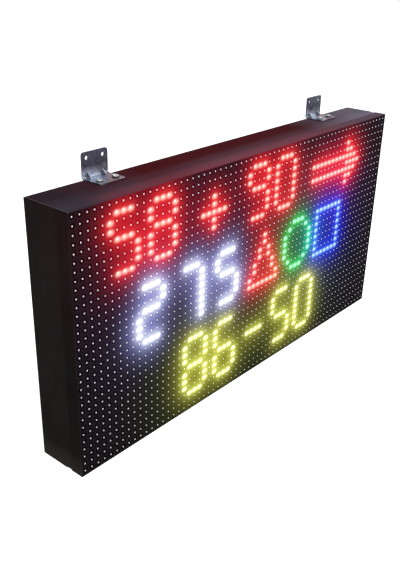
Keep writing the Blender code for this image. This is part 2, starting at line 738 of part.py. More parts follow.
def bracket_ribs_mesh():
    """Two pressed ribs that brace the bend."""
    mesh = bmesh.new()
    inner_y = FRAME_DEPTH / 2 - BRACKET_THICKNESS / 2
    inner_z = FRAME_HEIGHT + SEAT_GAP + BRACKET_THICKNESS / 2
    reach = BRACKET_RIB_REACH + BRACKET_THICKNESS / 2
    for offset in (-BRACKET_RIB_SPACING / 2, BRACKET_RIB_SPACING / 2):
        sides = []
        for side in (-1, 1):
            foot = offset + side * BRACKET_RIB_WIDTH / 2
            crest = offset + side * BRACKET_RIB_CREST / 2
            root = (foot, inner_y, inner_z)
            front = (crest, inner_y - reach, inner_z)
            top = (crest, inner_y, inner_z + reach)
            ring = [mesh.verts.new(point) for point in (root, front, top)]
            mesh.faces.new(ring)
            sides.append(ring)
        for i in range(len(sides[0])):
            follower = (i + 1) % len(sides[0])
            mesh.faces.new([sides[0][i], sides[0][follower], sides[1][follower], sides[1][i]])
    bmesh.ops.recalc_face_normals(mesh, faces=mesh.faces[:])
    return mesh


def add_brackets(steel_finish, screw_finish):
    """Two L brackets, their uprights flush with the rear and their feet screwed to the top rail."""
    foot_top = FRAME_HEIGHT + SEAT_GAP + BRACKET_THICKNESS
    top_hole_z = FRAME_HEIGHT + BRACKET_RISE - BRACKET_TOP_HOLE_DROP
    for name, place in bracket_places():
        mesh = prism("yz", [bracket_outline()], -BRACKET_WIDTH / 2, BRACKET_WIDTH / 2)
        round_bracket_corners(mesh)
        bracket = add_solid(f"bracket_{name}", mesh, steel_finish)
        bracket.location = (place, 0.0, 0.0)
        join_or_cut(bracket, add_solid(f"bracket_{name}_ribs", bracket_ribs_mesh(), None), "UNION")
        holes = []
        for side, offset in bracket_hole_offsets():
            upright = (offset, FRAME_DEPTH / 2 - BRACKET_THICKNESS / 2, top_hole_z)
            foot = (offset, BRACKET_SCREW_Y, foot_top - BRACKET_THICKNESS / 2)
            holes.append((upright, "y", BRACKET_HOLE_RADIUS, 3 * BRACKET_THICKNESS))
            holes.append((foot, "z", BRACKET_SHANK_RADIUS + SCREW_CLEARANCE, 3 * BRACKET_THICKNESS))
            add_screw(
                f"bracket_screw_{name}_{side}", (place + offset, BRACKET_SCREW_Y, foot_top + SEAT_GAP),
                FACING_UP, BRACKET_SHANK_RADIUS, BRACKET_HEAD_RADIUS, BRACKET_HEAD_HEIGHT,
                BRACKET_SCREW_REACH, BRACKET_SCREW_SIDES, screw_finish,
            )
        drill(bracket, holes, BRACKET_HOLE_SIDES)


def add_supply(chassis_finish, lid_finish, terminal_finish):
    """The power supply: a folded chassis on the cover, a slotted lid and a terminal block at its left end."""
    low = MIDDLE_Z - SUPPLY_HEIGHT / 2
    high = MIDDLE_Z + SUPPLY_HEIGHT / 2
    floor = behind(INNER_SEAT)
    front = behind(SUPPLY_FRONT)
    channel = [
        (floor, low), (floor, high), (front, high), (front, high - SUPPLY_SHEET),
        (floor - SUPPLY_SHEET, high - SUPPLY_SHEET), (floor - SUPPLY_SHEET, low + SUPPLY_SHEET),
        (front, low + SUPPLY_SHEET), (front, low),
    ]
    chassis = add_solid("supply_chassis", prism("yz", [channel], SUPPLY_LEFT, SUPPLY_RIGHT), chassis_finish)
    holes = []
    for _, across, up in supply_screw_places():
        holes.append(((across, floor - SUPPLY_SHEET / 2, up), "y", SMALL_HOLE_RADIUS, 3 * SUPPLY_SHEET))
    drill(chassis, holes, HOLE_SIDES)
    add_supply_lid(low, high, front, floor, lid_finish)
    add_terminal_block(low, high, floor, terminal_finish)


def add_supply_lid(low, high, front, floor, material):
    """A sheet over the chassis, folded down at the far end, with slots over the hot parts."""
    inside_low = low + SUPPLY_SHEET + SEAT_GAP
    inside_high = high - SUPPLY_SHEET - SEAT_GAP
    start = SUPPLY_LEFT + TERMINAL_LENGTH + SEAT_GAP
    fold = SUPPLY_RIGHT - SUPPLY_SHEET
    foot = floor - SUPPLY_SHEET - SEAT_GAP
    outline = [
        (start, front), (SUPPLY_RIGHT, front), (SUPPLY_RIGHT, foot), (fold, foot),
        (fold, front + SUPPLY_SHEET), (start, front + SUPPLY_SHEET),
    ]
    lid = add_solid("supply_lid", prism("xy", [outline], inside_low, inside_high), material)
    mesh = bmesh.new()
    first = SUPPLY_MIDDLE_X - (LID_SLOT_COUNT - 1) / 2 * LID_SLOT_SPACING
    for i in range(LID_SLOT_COUNT):
        across = first + i * LID_SLOT_SPACING
        add_block(
            mesh,
            (across - LID_SLOT_WIDTH / 2, front - SUPPLY_SHEET, MIDDLE_Z - LID_SLOT_LENGTH / 2),
            (across + LID_SLOT_WIDTH / 2, front + 2 * SUPPLY_SHEET, MIDDLE_Z + LID_SLOT_LENGTH / 2),
        )
    join_or_cut(lid, add_solid("supply_lid_slots", mesh, None), "DIFFERENCE")


def add_terminal_block(low, high, floor, material):
    """A barrier strip: a base with a wall on each side of every terminal."""
    inside_low = low + SUPPLY_SHEET + SEAT_GAP
    inside_high = high - SUPPLY_SHEET - SEAT_GAP
    back = floor - SUPPLY_SHEET - SEAT_GAP
    base = back - TERMINAL_BASE
    tip = base - TERMINAL_BARRIER
    step = (inside_high - inside_low - TERMINAL_BARRIER_THICKNESS) / TERMINAL_COUNT
    points = [(back, inside_high), (back, inside_low)]
    for i in range(TERMINAL_COUNT + 1):
        foot = inside_low + i * step
        head = foot + TERMINAL_BARRIER_THICKNESS
        if i > 0:
            points.append((base, foot))
        points += [(tip, foot), (tip, head)]
        if i < TERMINAL_COUNT:
            points.append((base, head))
    mesh = prism("yz", [points], SUPPLY_LEFT, SUPPLY_LEFT + TERMINAL_LENGTH)
    add_solid("supply_terminals", mesh, material)


def add_control_card(board_finish, pad_finish):
    """The control card, stuck to the cover by a foam pad, with a data plug above and below its middle."""
    outline = rectangle(
        CARD_MIDDLE_X - CARD_WIDTH / 2, MIDDLE_Z - CARD_HEIGHT / 2,
        CARD_MIDDLE_X + CARD_WIDTH / 2, MIDDLE_Z + CARD_HEIGHT / 2,
    )
    plate = prism("xz", [outline], behind(CARD_FRONT), behind(CARD_BACK))
    card = add_solid("control_card", plate, board_finish)
    mesh = bmesh.new()
    for side in (-1, 1):
        middle = MIDDLE_Z + side * CARD_PLUG_RISE
        low_x = CARD_MIDDLE_X - DATA_PLUG_HEIGHT / 2
        high_x = CARD_MIDDLE_X + DATA_PLUG_HEIGHT / 2
        low = (low_x, behind(CARD_FRONT - DATA_PLUG_DEPTH), middle - DATA_PLUG_WIDTH / 2)
        high = (high_x, behind(CARD_FRONT + CARD_THICKNESS / 2), middle + DATA_PLUG_WIDTH / 2)
        add_block(mesh, low, high)
    join_or_cut(card, add_solid("control_card_plugs", mesh, None), "UNION")
    pad = rectangle(
        CARD_MIDDLE_X - CARD_PAD_WIDTH / 2, MIDDLE_Z - CARD_PAD_HEIGHT / 2,
        CARD_MIDDLE_X + CARD_PAD_WIDTH / 2, MIDDLE_Z + CARD_PAD_HEIGHT / 2,
    )
    near = behind(INNER_SEAT - CARD_PAD_THICKNESS)
    add_solid("card_pad", prism("xz", [pad], near, behind(INNER_SEAT)), pad_finish)


def ribbon_mesh(stations):
    """A flat cable through stations, each the two edges of the cable's front face."""
    mesh = bmesh.new()
    thickness = Vector((0.0, RIBBON_THICKNESS, 0.0))
    rings = []
    for left, right in stations:
        corners = [Vector(left), Vector(right), Vector(right) + thickness, Vector(left) + thickness]
        rings.append([mesh.verts.new(corner) for corner in corners])
    for lower, upper in zip(rings, rings[1:]):
        for i in range(4):
            follower = (i + 1) % 4
            mesh.faces.new([lower[i], lower[follower], upper[follower], upper[i]])
    mesh.faces.new(rings[0])
    mesh.faces.new(rings[-1])
    bmesh.ops.recalc_face_normals(mesh, faces=mesh.faces[:])
    return mesh


def add_link_ribbons(material):
    """A flat cable in each row, from the left module's last plug to the right module's first."""
    rest = behind(BOARD_BACK + DATA_PLUG_DEPTH + SEAT_GAP)
    half = RIBBON_WIDTH / 2
    end = DATA_PLUG_INSET + DATA_PLUG_WIDTH / 2
    for row, row_name in enumerate(ROW_NAMES):
        up = MIDDLE_Z + (row - (len(ROW_NAMES) - 1) / 2) * MODULE_HEIGHT
        stations = [((x, rest, up - half), (x, rest, up + half)) for x in (-end, end)]
        add_solid(f"link_ribbon_{row_name}", ribbon_mesh(stations), material)


def add_card_ribbons(material):
    """A flat cable from the card to each row's first plug, folded once to turn upright."""
    rest = behind(BOARD_BACK + DATA_PLUG_DEPTH + SEAT_GAP)
    card_rest = behind(CARD_FRONT - DATA_PLUG_DEPTH - SEAT_GAP) - RIBBON_THICKNESS
    half = RIBBON_WIDTH / 2
    plug_x = DATA_PLUG_INSET + RAIL_MARGIN - FRAME_WIDTH / 2
    start = plug_x - DATA_PLUG_WIDTH / 2
    low_x = CARD_MIDDLE_X - half
    high_x = CARD_MIDDLE_X + half
    for row_name, side in (("bottom", -1), ("top", 1)):
        up = MIDDLE_Z + side * MODULE_HEIGHT / 2
        outer = up + side * half
        inner = up - side * half
        turn = inner - side * RIBBON_WIDTH
        plug = MIDDLE_Z + side * CARD_PLUG_RISE
        near = plug + side * DATA_PLUG_WIDTH
        far = plug - side * DATA_PLUG_WIDTH / 2
        stations = [
            ((start, rest, outer), (start, rest, inner)),
            ((low_x, rest, outer), (low_x, rest, inner)),
            ((high_x, rest, inner), (low_x, rest, inner)),
            ((high_x, rest, turn), (low_x, rest, turn)),
            ((high_x, card_rest, near), (low_x, card_rest, near)),
            ((high_x, card_rest, far), (low_x, card_rest, far)),
        ]
        add_solid(f"card_ribbon_{row_name}", ribbon_mesh(stations), material)


def smooth_route(points):
    """Points on a smooth curve through the given ones, so many to each span."""
    knots = [Vector(point) for point in points]
    lengths = [(end - start).length for start, end in zip(knots, knots[1:])]
    slopes = []
    for i in range(len(knots)):
        before = max(i - 1, 0)
        after = min(i + 1, len(knots) - 1)
        slopes.append((knots[after] - knots[before]) / sum(lengths[before:after]))
    route = [knots[0]]
    for i, length in enumerate(lengths):
        for step in range(1, LEAD_STEPS + 1):
            t = step / LEAD_STEPS
            rise = t * t * (3 - 2 * t)
            start_pull = length * t * (1 - t) ** 2
            end_pull = -length * t * t * (1 - t)
            place = knots[i] * (1 - rise) + knots[i + 1] * rise
            route.append(place + slopes[i] * start_pull + slopes[i + 1] * end_pull)
    return route


def add_lead(name, points, material):
    """A round lead along a smooth route."""
    data = bpy.data.curves.new(name, "CURVE")
    data.dimensions = "3D"
    data.bevel_depth = LEAD_RADIUS
    data.bevel_resolution = LEAD_BEVEL_STEPS
    data.use_fill_caps = True
    route = smooth_route(points)
    spline = data.splines.new("POLY")
    spline.points.add(len(route) - 1)
    for knot, place in zip(spline.points, route):
        knot.co = (*place, 1.0)
    data.materials.append(material)
    lead = bpy.data.objects.new(name, data)
    bpy.context.scene.collection.objects.link(lead)


def add_power_leads(material):
    """A lead from the terminal block over both power plugs of each column of modules, and one to the card."""
    plug_rest = behind(BOARD_BACK + POWER_PLUG_DEPTH + SEAT_GAP) + LEAD_RADIUS
    terminal = behind(INNER_SEAT - SUPPLY_SHEET - SEAT_GAP - TERMINAL_BASE - SEAT_GAP) - LEAD_RADIUS
    sag = (plug_rest + terminal) / 2
    low_z = MIDDLE_Z - MODULE_HEIGHT / 2
    high_z = MIDDLE_Z + MODULE_HEIGHT / 2
    approach = high_z + LEAD_APPROACH
    step = (SUPPLY_HEIGHT - 2 * SUPPLY_SHEET) / TERMINAL_COUNT
    start_x = SUPPLY_LEFT + TERMINAL_LENGTH / 2
    away = SUPPLY_LEFT - TERMINAL_LENGTH
    for name, side, rise in (("left", -1, step), ("right", 1, 2 * step)):
        column_x = side * MODULE_WIDTH / 2
        start_z = MIDDLE_Z + rise
        points = [
            (start_x, terminal, start_z),
            (SUPPLY_LEFT, terminal, start_z),
            (away, terminal, start_z),
            ((away + column_x) / 2, sag, approach),
            (column_x, plug_rest, approach),
            (column_x, plug_rest, high_z),
            (column_x, plug_rest, low_z - POWER_PLUG_HEIGHT / 2),
        ]
        add_lead(f"power_lead_{name}", points, material)
    card_x = CARD_MIDDLE_X + CARD_WIDTH / 2 - 2 * LEAD_RADIUS
    card_y = behind(CARD_FRONT - SEAT_GAP) - LEAD_RADIUS
    points = [
        (start_x, terminal, MIDDLE_Z),
        (SUPPLY_LEFT, terminal, MIDDLE_Z),
        (away, terminal, MIDDLE_Z),
        ((SUPPLY_LEFT + card_x) / 2, sag, MIDDLE_Z),
        (card_x, card_y, MIDDLE_Z),
    ]
    add_lead("card_lead", points, material)


def build():
    clear_scene()
    black_frame = finish("black_anodised_aluminium", (0.022, 0.021, 0.022), 0.38, 0.6)
    mask = finish("black_mask_plastic", (0.012, 0.011, 0.013), 0.55)
    board = finish("board_green", (0.02, 0.09, 0.04), 0.45)
    plastic = finish("back_frame_plastic", (0.025, 0.025, 0.027), 0.6)
    steel = finish("galvanised_steel", (0.42, 0.45, 0.50), 0.35, 1.0)
    screw = finish("plated_screw", (0.72, 0.73, 0.75), 0.22, 1.0)
    cover = finish("black_cover_sheet", (0.025, 0.025, 0.026), 0.45)
    supply = finish("supply_sheet", (0.60, 0.61, 0.62), 0.35, 1.0)
    terminal = finish("terminal_plastic", (0.03, 0.03, 0.032), 0.4)
    foam = finish("foam_pad", (0.75, 0.75, 0.72), 0.9)
    ribbon = finish("grey_ribbon", (0.42, 0.43, 0.45), 0.5)
    lead = finish("red_lead", (0.35, 0.02, 0.02), 0.45)
    rubber = finish("black_rubber", (0.015, 0.015, 0.015), 0.8)
    add_frame(black_frame)
    add_corner_keys(steel)
    add_modules(mask, board, plastic)
    add_mounting_strips(steel, screw)
    add_rear_cover(cover, screw)
    add_cable_bush(rubber)
    add_brackets(steel, screw)
    add_supply(supply, supply, terminal)
    add_control_card(board, foam)
    add_link_ribbons(ribbon)
    add_card_ribbons(ribbon)
    add_power_leads(lead)


build()
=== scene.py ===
"""Looks of an outdoor colour LED matrix sign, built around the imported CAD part.

Metres, +Z up. The lamps face -Y, and +X is to the right as seen from the front.
"""

import math

import bmesh
import bpy
import numpy as np
from mathutils import Matrix, Vector

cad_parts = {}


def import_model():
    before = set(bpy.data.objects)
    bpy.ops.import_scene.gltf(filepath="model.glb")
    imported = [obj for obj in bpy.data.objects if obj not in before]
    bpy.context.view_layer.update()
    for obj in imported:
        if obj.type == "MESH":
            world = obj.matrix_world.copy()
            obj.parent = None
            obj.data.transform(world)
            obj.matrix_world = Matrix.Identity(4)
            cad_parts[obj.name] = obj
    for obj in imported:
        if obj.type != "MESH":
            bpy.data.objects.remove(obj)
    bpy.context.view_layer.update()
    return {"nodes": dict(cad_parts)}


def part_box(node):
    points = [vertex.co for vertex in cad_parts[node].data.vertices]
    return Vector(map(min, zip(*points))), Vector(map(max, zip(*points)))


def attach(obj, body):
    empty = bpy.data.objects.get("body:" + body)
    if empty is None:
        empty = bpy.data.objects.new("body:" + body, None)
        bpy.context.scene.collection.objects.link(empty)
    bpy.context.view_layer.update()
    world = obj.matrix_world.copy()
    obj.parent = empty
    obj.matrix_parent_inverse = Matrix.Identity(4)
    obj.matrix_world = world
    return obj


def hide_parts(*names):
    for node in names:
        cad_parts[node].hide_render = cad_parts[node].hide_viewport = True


# Camera, from the lamps' places in the photograph
CAMERA_PLACE = (-0.7526, -0.5697, 0.5649)
CAMERA_TARGET = (-0.1183, -0.0340, 0.1754)
CAMERA_ROLL = math.radians(1.38)
LENS_MM = 46.69

# Lamp grid of one module
LAMP_PITCH = 0.010
LAMPS_ACROSS = 32
LAMPS_UP = 16
MODULE_NAMES = ("bottom_left", "bottom_right", "top_left", "top_right")

# One cell of the mask, depths from the frame's front edge
LAND_DEPTH = 0.0006
HOLE_RADIUS = 0.0034
HOLE_CHAMFER = 0.0003
HOLE_DRAFT = 0.0001
FLOOR_DEPTH = 0.0018
MASK_BACK_DEPTH = 0.0048
CELL_SIDES = 24
LAND_RINGS = 2
POINT_DECIMALS = 7

# Louvre above each row of lamps
LOUVRE_RISE = 0.0042
LOUVRE_ROOT = 0.0010
LOUVRE_TIP = 0.0006
LOUVRE_LONG_DEPTH = 0.0001
LOUVRE_SHORT_DEPTH = 0.0003
LOUVRE_SINK = 0.0001
LOUVRE_STEPS = 6

# Lamp: its rings as a share of its outline and a depth, from the back to the lens
LAMP_HALF_WIDTH = 0.00098
LAMP_HALF_HEIGHT = 0.00112
LAMP_SQUARENESS = 3.0
LAMP_SIDES = 12
LAMP_RINGS = (
    (1.00, 0.00175),
    (1.00, 0.00105),
    (0.93, 0.00095),
    (0.80, 0.00095),
    (0.62, 0.00080),
    (0.32, 0.00068),
)
LAMP_TIP_DEPTH = 0.00064
CASING_RINGS = 2
LAMP_SMOOTH_DEGREES = 50

# Inside: the tracks of the boards, in the shader's own units, and the wires of the ribbons
TRACK_SCALE = 60.0
TRACK_WIDTH = 0.03
TRACK_COLOURS = {
    "Color1": (0.010, 0.075, 0.030),
    "Color2": (0.013, 0.090, 0.038),
    "Mortar": (0.03, 0.16, 0.07),
}
WIRE_PITCH = 0.0013
ALONG_WIRES = (40.0, 40.0, 1.0)

# Lit lamps: the lamp itself, its core on the mask, and its near, wide and far haze
LIT_COLOURS = {
    "red": {
        "lamp": (3.0, 0.82, 0.70),
        "core": (0.85, 0.76, 0.63),
        "haze": ((0.330, 0.010, 0.010), (0.078, 0.001, 0.001), (0.0020, 0.0, 0.0003)),
    },
    "green": {
        "lamp": (0.56, 3.0, 1.00),
        "core": (0.54, 0.92, 0.76),
        "haze": ((0.001, 0.250, 0.030), (0.0, 0.036, 0.002), (0.0, 0.003, 0.001)),
    },
    "blue": {
        "lamp": (0.60, 1.00, 3.0),
        "core": (0.50, 0.82, 0.95),
        "haze": ((0.004, 0.026, 0.240), (0.0, 0.001, 0.080), (0.0, 0.0, 0.006)),
    },
    "white": {
        "lamp": (1.5, 1.7, 3.0),
        "core": (1.50, 1.55, 1.60),
        "haze": ((0.370, 0.400, 0.520), (0.040, 0.045, 0.100), (0.001, 0.0005, 0.002)),
    },
    "yellow": {
        "lamp": (2.6, 2.6, 0.90),
        "core": (1.25, 1.25, 0.85),
        "haze": ((0.260, 0.280, 0.045), (0.038, 0.036, 0.003), (0.0015, 0.0022, 0.0)),
    },
}
CORE_HALF_WIDTH = 0.0043
CORE_HALF_HEIGHT = 0.0030
CORE_DROP = 0.0008
CORE_POWER = 1.3
CORE_CELLS = ((0, 0), (-1, 0), (1, 0), (0, -1))
HAZE_REACHES = (0.009, 0.025, 0.070)
RECESS_SHARE = 0.85
GLOW_KNEE = 0.5
UNLIT_LAMP_GLOW = 1.5
LIT_BODY_LIMIT = 0.8

# Where noise, and how squarely a face looks in a direction, start and end counting
NOISE_SPAN = (0.3, 0.7)
FACING_SPAN = (0.55, 0.85)

# The ramps below give a start and an end along an axis, and a value at each

# Coat of the frame's rails, darker and lighter; the top rail's is a darker copy, painted shade against
# the light that falls on its top
SIDE_COATS = ((0.0155, 0.0130, 0.0132), (0.0220, 0.0188, 0.0192))
SHADED_TOP_COATS = ((0.0044, 0.0036, 0.0039), (0.0062, 0.0052, 0.0056))
DIE_LINE_WIDTH = 0.0008
DIE_LINE_SHADE = (0.35, 0.65, 0.80, 1.0)
FRONT_BAND_DEPTH = (-0.018, -0.0155, 0.72, 1.0)
ALONG_X = (60.0, 1.0, 1.0)
ALONG_Z = (1.0, 1.0, 60.0)

# Side rails: painted bounce light from the floor at the foot, and a trace of red haze painted on as glow
# high up at the front
FLOOR_BOUNCE_COAT = (0.034, 0.030, 0.028)
FLOOR_BOUNCE_RISE = (0.004, 0.028, 1.0, 0.0)
SIDE_HAZE = (1.0, 0.0, 0.15)
SIDE_HAZE_RISE = (0.14, 0.28, 0.0, 1.0)
SIDE_HAZE_DEPTH = (-0.035, 0.015, 0.0065, 0.0015)

# Top rail: a pale painted highlight along the edge at its left end, a pale painted sheen at its right
# end, and red, pale and grey haze painted on as glow
# painted highlight: a pale line along the top rail's left edge
EDGE_HIGHLIGHT_COAT = (0.060, 0.050, 0.056)
EDGE_HIGHLIGHT_WIDTH = 0.0009
EDGE_HIGHLIGHT_FADE = 0.00027
# painted sheen: a pale bluish coat over the rear of the top rail's right end
PAINTED_SHEEN_COAT = (0.092, 0.088, 0.118)
PAINTED_SHEEN_ACROSS = (0.14, 0.27, 0.0, 1.0)
PAINTED_SHEEN_DEPTH = (-0.0215, -0.017, 0.2, 1.0)
RED_HAZE = (1.0, 0.0, 0.04)
RED_FRONT_DEPTH = (-0.035, -0.010, 0.09, 0.0)
RED_FRONT_ACROSS = (-0.29, -0.26, 0.0, 1.0)
RED_REAR_ACROSS = (-0.29, -0.17, 0.010, 0.05)
RED_RIGHT_FADE = (0.10, 0.26, 1.0, 0.27)
PALE_HAZE = (0.048, 0.045, 0.062)
PALE_DEPTH = (-0.023, 0.009, 1.0, 0.0)
PALE_LEFT_ACROSS = (-0.30, -0.16, 0.45, 0.65)
PALE_MIDDLE_ACROSS = (-0.16, -0.08, 1.0, 1.54)
GREY_HAZE = (0.010, 0.010, 0.015)
GREY_ACROSS = (-0.22, -0.17, 1.0, 0.0)

# Brackets: zinc, bright on the foot, darker and browner at the foot's right, and darkened and tinted up
# the upright by painted shade
BRACKET_SHEET = 0.0018
ZINC = (0.38, 0.425, 0.51)
SPANGLE_SCALE = 260.0
SPANGLE_SHARES = (0.45, 0.6)
# painted shade up the bracket's upright: where it starts above the foot, its wavy edge, its share and
# tint, and more of it higher up
UPRIGHT_SHADE_RISE = (0.00433, 0.013)
UPRIGHT_SHADE_WAVE = 0.0015
UPRIGHT_SHADE_SHARE = 0.22
UPRIGHT_SHADE_TINT = (0.012, 0.0, 0.022)
UPPER_SHADE_RISE = (0.015, 0.027)
UPPER_SHADE_SHARE = 0.65
EDGE_SHARE = 0.25
TOP_EDGE_DROP = (0.004, 0.003)
# the foot turns darker and browner towards its right, along a slant
FOOT_RIGHT_TONE = (0.165, 0.082, 0.112)
RIGHT_TONE_SLANT = 0.87
RIGHT_TONE_WAY = (0.027, 0.040)

# Bracket screws
SCREW_SIDES = 32
SCREW_SHANK_RADIUS = 0.0019
SCREW_HEAD_HEIGHT = 0.0024
SCREW_RIM_SHARE = 0.35
# painted shade on the screw heads: darker below the top of the dome
SCREW_SHADE_DROP = (0.5, 0.1)
SCREW_SHADE_SHARE = 0.22
SCREW_SMOOTH_DEGREES = 40
DOME_STEPS = 6
CROSS_REACH = 0.52
CROSS_WAIST = 0.17
CROSS_DEPTH = 0.0009
CROSS_RIM_SHARE = 1.02
CROSS_FLOOR_SHARE = 0.8

# Stage
WORLD_STRENGTH = 0.45
FLOOR_REACH = 6.0
FLOOR_DROP = 0.0005
FLOOR_GREY = 0.80
LIGHT_TARGET = (0.0, 0.0, 0.16)
LIGHT_SIZE = 1.6
LIGHTS = {
    "key": ((-0.6, -1.6, 2.2), 45.0, (1.0, 0.98, 0.96)),
    "fill": ((1.8, -1.4, 1.2), 12.0, (0.96, 0.98, 1.0)),
    "back": ((0.2, 1.8, 1.8), 18.0, (1.0, 1.0, 1.0)),
}

# Strokes of a dot digit, named as on a seven-stroke display
DIGIT_STROKES = {
    "0": "abcdef",
    "2": "abged",
    "5": "afgcd",
    "6": "afgedc",
    "7": "abc",
    "8": "abcdefg",
    "9": "abcdfg",
}
DIGIT_WIDTH = 5


def lit_stroke_lamps(digit, width, height):
    """Lamps of a digit as (column, row) from its top left corner, with its corners left dark."""
    strokes = DIGIT_STROKES[digit]
    right = width - 1
    bottom = height - 1
    middle = bottom // 2
    flat = {"a": 0, "g": middle, "d": bottom}
    upright = {
        "f": (0, 1, middle),
        "b": (right, 1, middle),
        "e": (0, middle + 1, bottom),
        "c": (right, middle + 1, bottom),
    }
    lamps = set()
    for name, row in flat.items():
        if name in strokes:
            lamps |= {(column, row) for column in range(1, right)}
    for name, (column, start, end) in upright.items():
        if name in strokes:
            lamps |= {(column, row) for row in range(start, end)}
    for column, upper, lower in ((0, "f", "e"), (right, "b", "c")):
        if "g" not in strokes and upper in strokes and lower in strokes:
            lamps.add((column, middle))
    if "d" not in strokes and "c" in strokes:
        lamps.add((right, bottom))
    return lamps


def number_lamps(digits, spacing, height):
    lamps = set()
    for i, digit in enumerate(digits):
        strokes = lit_stroke_lamps(digit, DIGIT_WIDTH, height)
        lamps |= {(column + i * spacing, row) for column, row in strokes}
    return lamps


def plus_lamps(size):
    middle = size // 2
    return {(i, middle) for i in range(size)} | {(middle, i) for i in range(size)}


def arrow_lamps(length, height):
    """An arrow to the right, with a double shaft and a filled head."""
    middle = height // 2
    lamps = {(column, row) for column in range(length - middle - 1) for row in (middle - 1, middle + 1)}
    for step in range(middle + 1):
        lamps |= {(length - 1 - step, row) for row in range(middle - step, middle + step + 1)}
    return lamps


def triangle_lamps(width, height):
    lamps = {(column, height - 1) for column in range(width)}
    middle = width // 2
    for row in range(height - 1):
        reach = round(row * middle / (height - 1))
        lamps |= {(middle - reach, row), (middle + reach, row)}
    return lamps


def ring_lamps(width, height):
    lamps = set()
    for column in range(2, width - 2):
        lamps |= {(column, 0), (column, height - 1)}
    for row in range(2, height - 2):
        lamps |= {(0, row), (width - 1, row)}
    for column in (1, width - 2):
        lamps |= {(column, 1), (column, height - 2)}
    return lamps


def square_lamps(width, height):
    lamps = set()
    for column in range(width):
        lamps |= {(column, 0), (column, height - 1)}
    for row in range(height):
        lamps |= {(0, row), (width - 1, row)}
    return lamps


def bar_lamps(width):
    return {(column, 0) for column in range(width)}


def display():
    """Lit lamps as {(column, row): colour}, counted over the whole face from its top left corner.

    Each shape has its colour, and the column and row of its own top left corner.
    """
    shapes = [
        ("red", 5, 1, number_lamps("58", 6, 8)),
        ("red", 20, 3, plus_lamps(5)),
        ("red", 29, 1, number_lamps("90", 6, 8)),
        ("red", 44, 2, arrow_lamps(13, 7)),
        ("white", 9, 11, number_lamps("275", 7, 8)),
        ("red", 30, 11, triangle_lamps(7, 8)),
        ("green", 38, 11, ring_lamps(7, 8)),
        ("blue", 46, 11, square_lamps(7, 8)),
        ("yellow", 17, 21, number_lamps("86", 6, 9)),
        ("yellow", 30, 25, bar_lamps(4)),
        ("yellow", 36, 21, number_lamps("50", 6, 9)),
    ]
    lit = {}
    for colour, column, row, lamps in shapes:
        for across, down in lamps:
            lit[(column + across, row + down)] = colour
    return lit


class Face:
    """The grid of lamps over all four modules."""

    def __init__(self):
        low, high = self.span()
        self.middle_x = (low.x + high.x) / 2
        self.middle_z = (low.z + high.z) / 2
        self.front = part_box("top_rail")[0].y
        self.lit = display()

    def span(self):
        boxes = [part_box(f"mask_{name}") for name in MODULE_NAMES]
        low = Vector(min(box[0][i] for box in boxes) for i in range(3))
        high = Vector(max(box[1][i] for box in boxes) for i in range(3))
        return low, high

    def depth(self, distance):
        return self.front + distance

    def place(self, column, row):
        """Middle of a lamp, from its column and row over the whole face."""
        x = self.middle_x + (column + 0.5 - LAMPS_ACROSS) * LAMP_PITCH
        z = self.middle_z + (LAMPS_UP - row - 0.5) * LAMP_PITCH
        return x, z

    def offsets(self, cells):
        """Middles of the lamps of some cells, as rows of x, 0 and z."""
        places = [self.place(column, row) for column, row in cells]
        return np.array([(x, 0.0, z) for x, z in places])

    def module_cells(self, name):
        """Columns and rows of a module's lamps."""
        first_column = 0 if name.endswith("left") else LAMPS_ACROSS
        first_row = 0 if name.startswith("top") else LAMPS_UP
        columns = range(first_column, first_column + LAMPS_ACROSS)
        rows = range(first_row, first_row + LAMPS_UP)
        return [(column, row) for row in rows for column in columns]

    def cell_at(self, x, z):
        """Column and row of the cell that a point lies in."""
        column = math.floor((x - self.middle_x) / LAMP_PITCH) + LAMPS_ACROSS
        row = LAMPS_UP - 1 - math.floor((z - self.middle_z) / LAMP_PITCH)
        return column, row

    def glow(self, points):
        """Haze of all lit lamps at points given as rows of x, y and z.

        It flattens off where it is strong, and is weaker down in the lamps' holes.
        """
        across = points[:, [0, 2]]
        total = np.zeros((len(points), 3))
        for (column, row), colour in self.lit.items():
            away = np.linalg.norm(across - self.place(column, row), axis=1)[:, None]
            for light, reach in zip(LIT_COLOURS[colour]["haze"], HAZE_REACHES):
                total += np.exp(-((away / reach) ** 2)) * light
        above_knee = np.maximum(total - GLOW_KNEE, 0.0) / (1 - GLOW_KNEE)
        total = np.minimum(total, GLOW_KNEE) + (1 - GLOW_KNEE) * (1 - np.exp(-above_knee))
        in_recess = points[:, 1] > self.depth(LAND_DEPTH + HOLE_CHAMFER / 2)
        total[in_recess] *= RECESS_SHARE
        return total


def mesh_object(name, points, faces):
    """An object from arrays of points and faces, shared points merged."""
    rounded, index = np.unique(np.round(points, POINT_DECIMALS), axis=0, return_inverse=True)
    index = index.ravel()
    data = bpy.data.meshes.new(name)
    data.from_pydata(rounded.tolist(), [], [[int(index[i]) for i in face] for face in faces])
    data.update()
    made = bpy.data.objects.new(name, data)
    bpy.context.scene.collection.objects.link(made)
    return made


def ring_faces(rings, sides):
    """Faces between rings of points that follow each other in one list."""
    faces = []
    for ring in range(rings - 1):
        for i in range(sides):
            follower = (i + 1) % sides
            start = ring * sides
            faces.append((start + i, start + follower, start + sides + follower, start + sides + i))
    return faces


def repeat_pattern(pattern, faces, offsets):
    """Copies of one pattern of points and faces at each offset."""
    points = (pattern[None, :, :] + offsets[:, None, :]).reshape(-1, 3)
    count = len(pattern)
    copies = [tuple(i + count * copy for i in face) for copy in range(len(offsets)) for face in faces]
    return points, copies


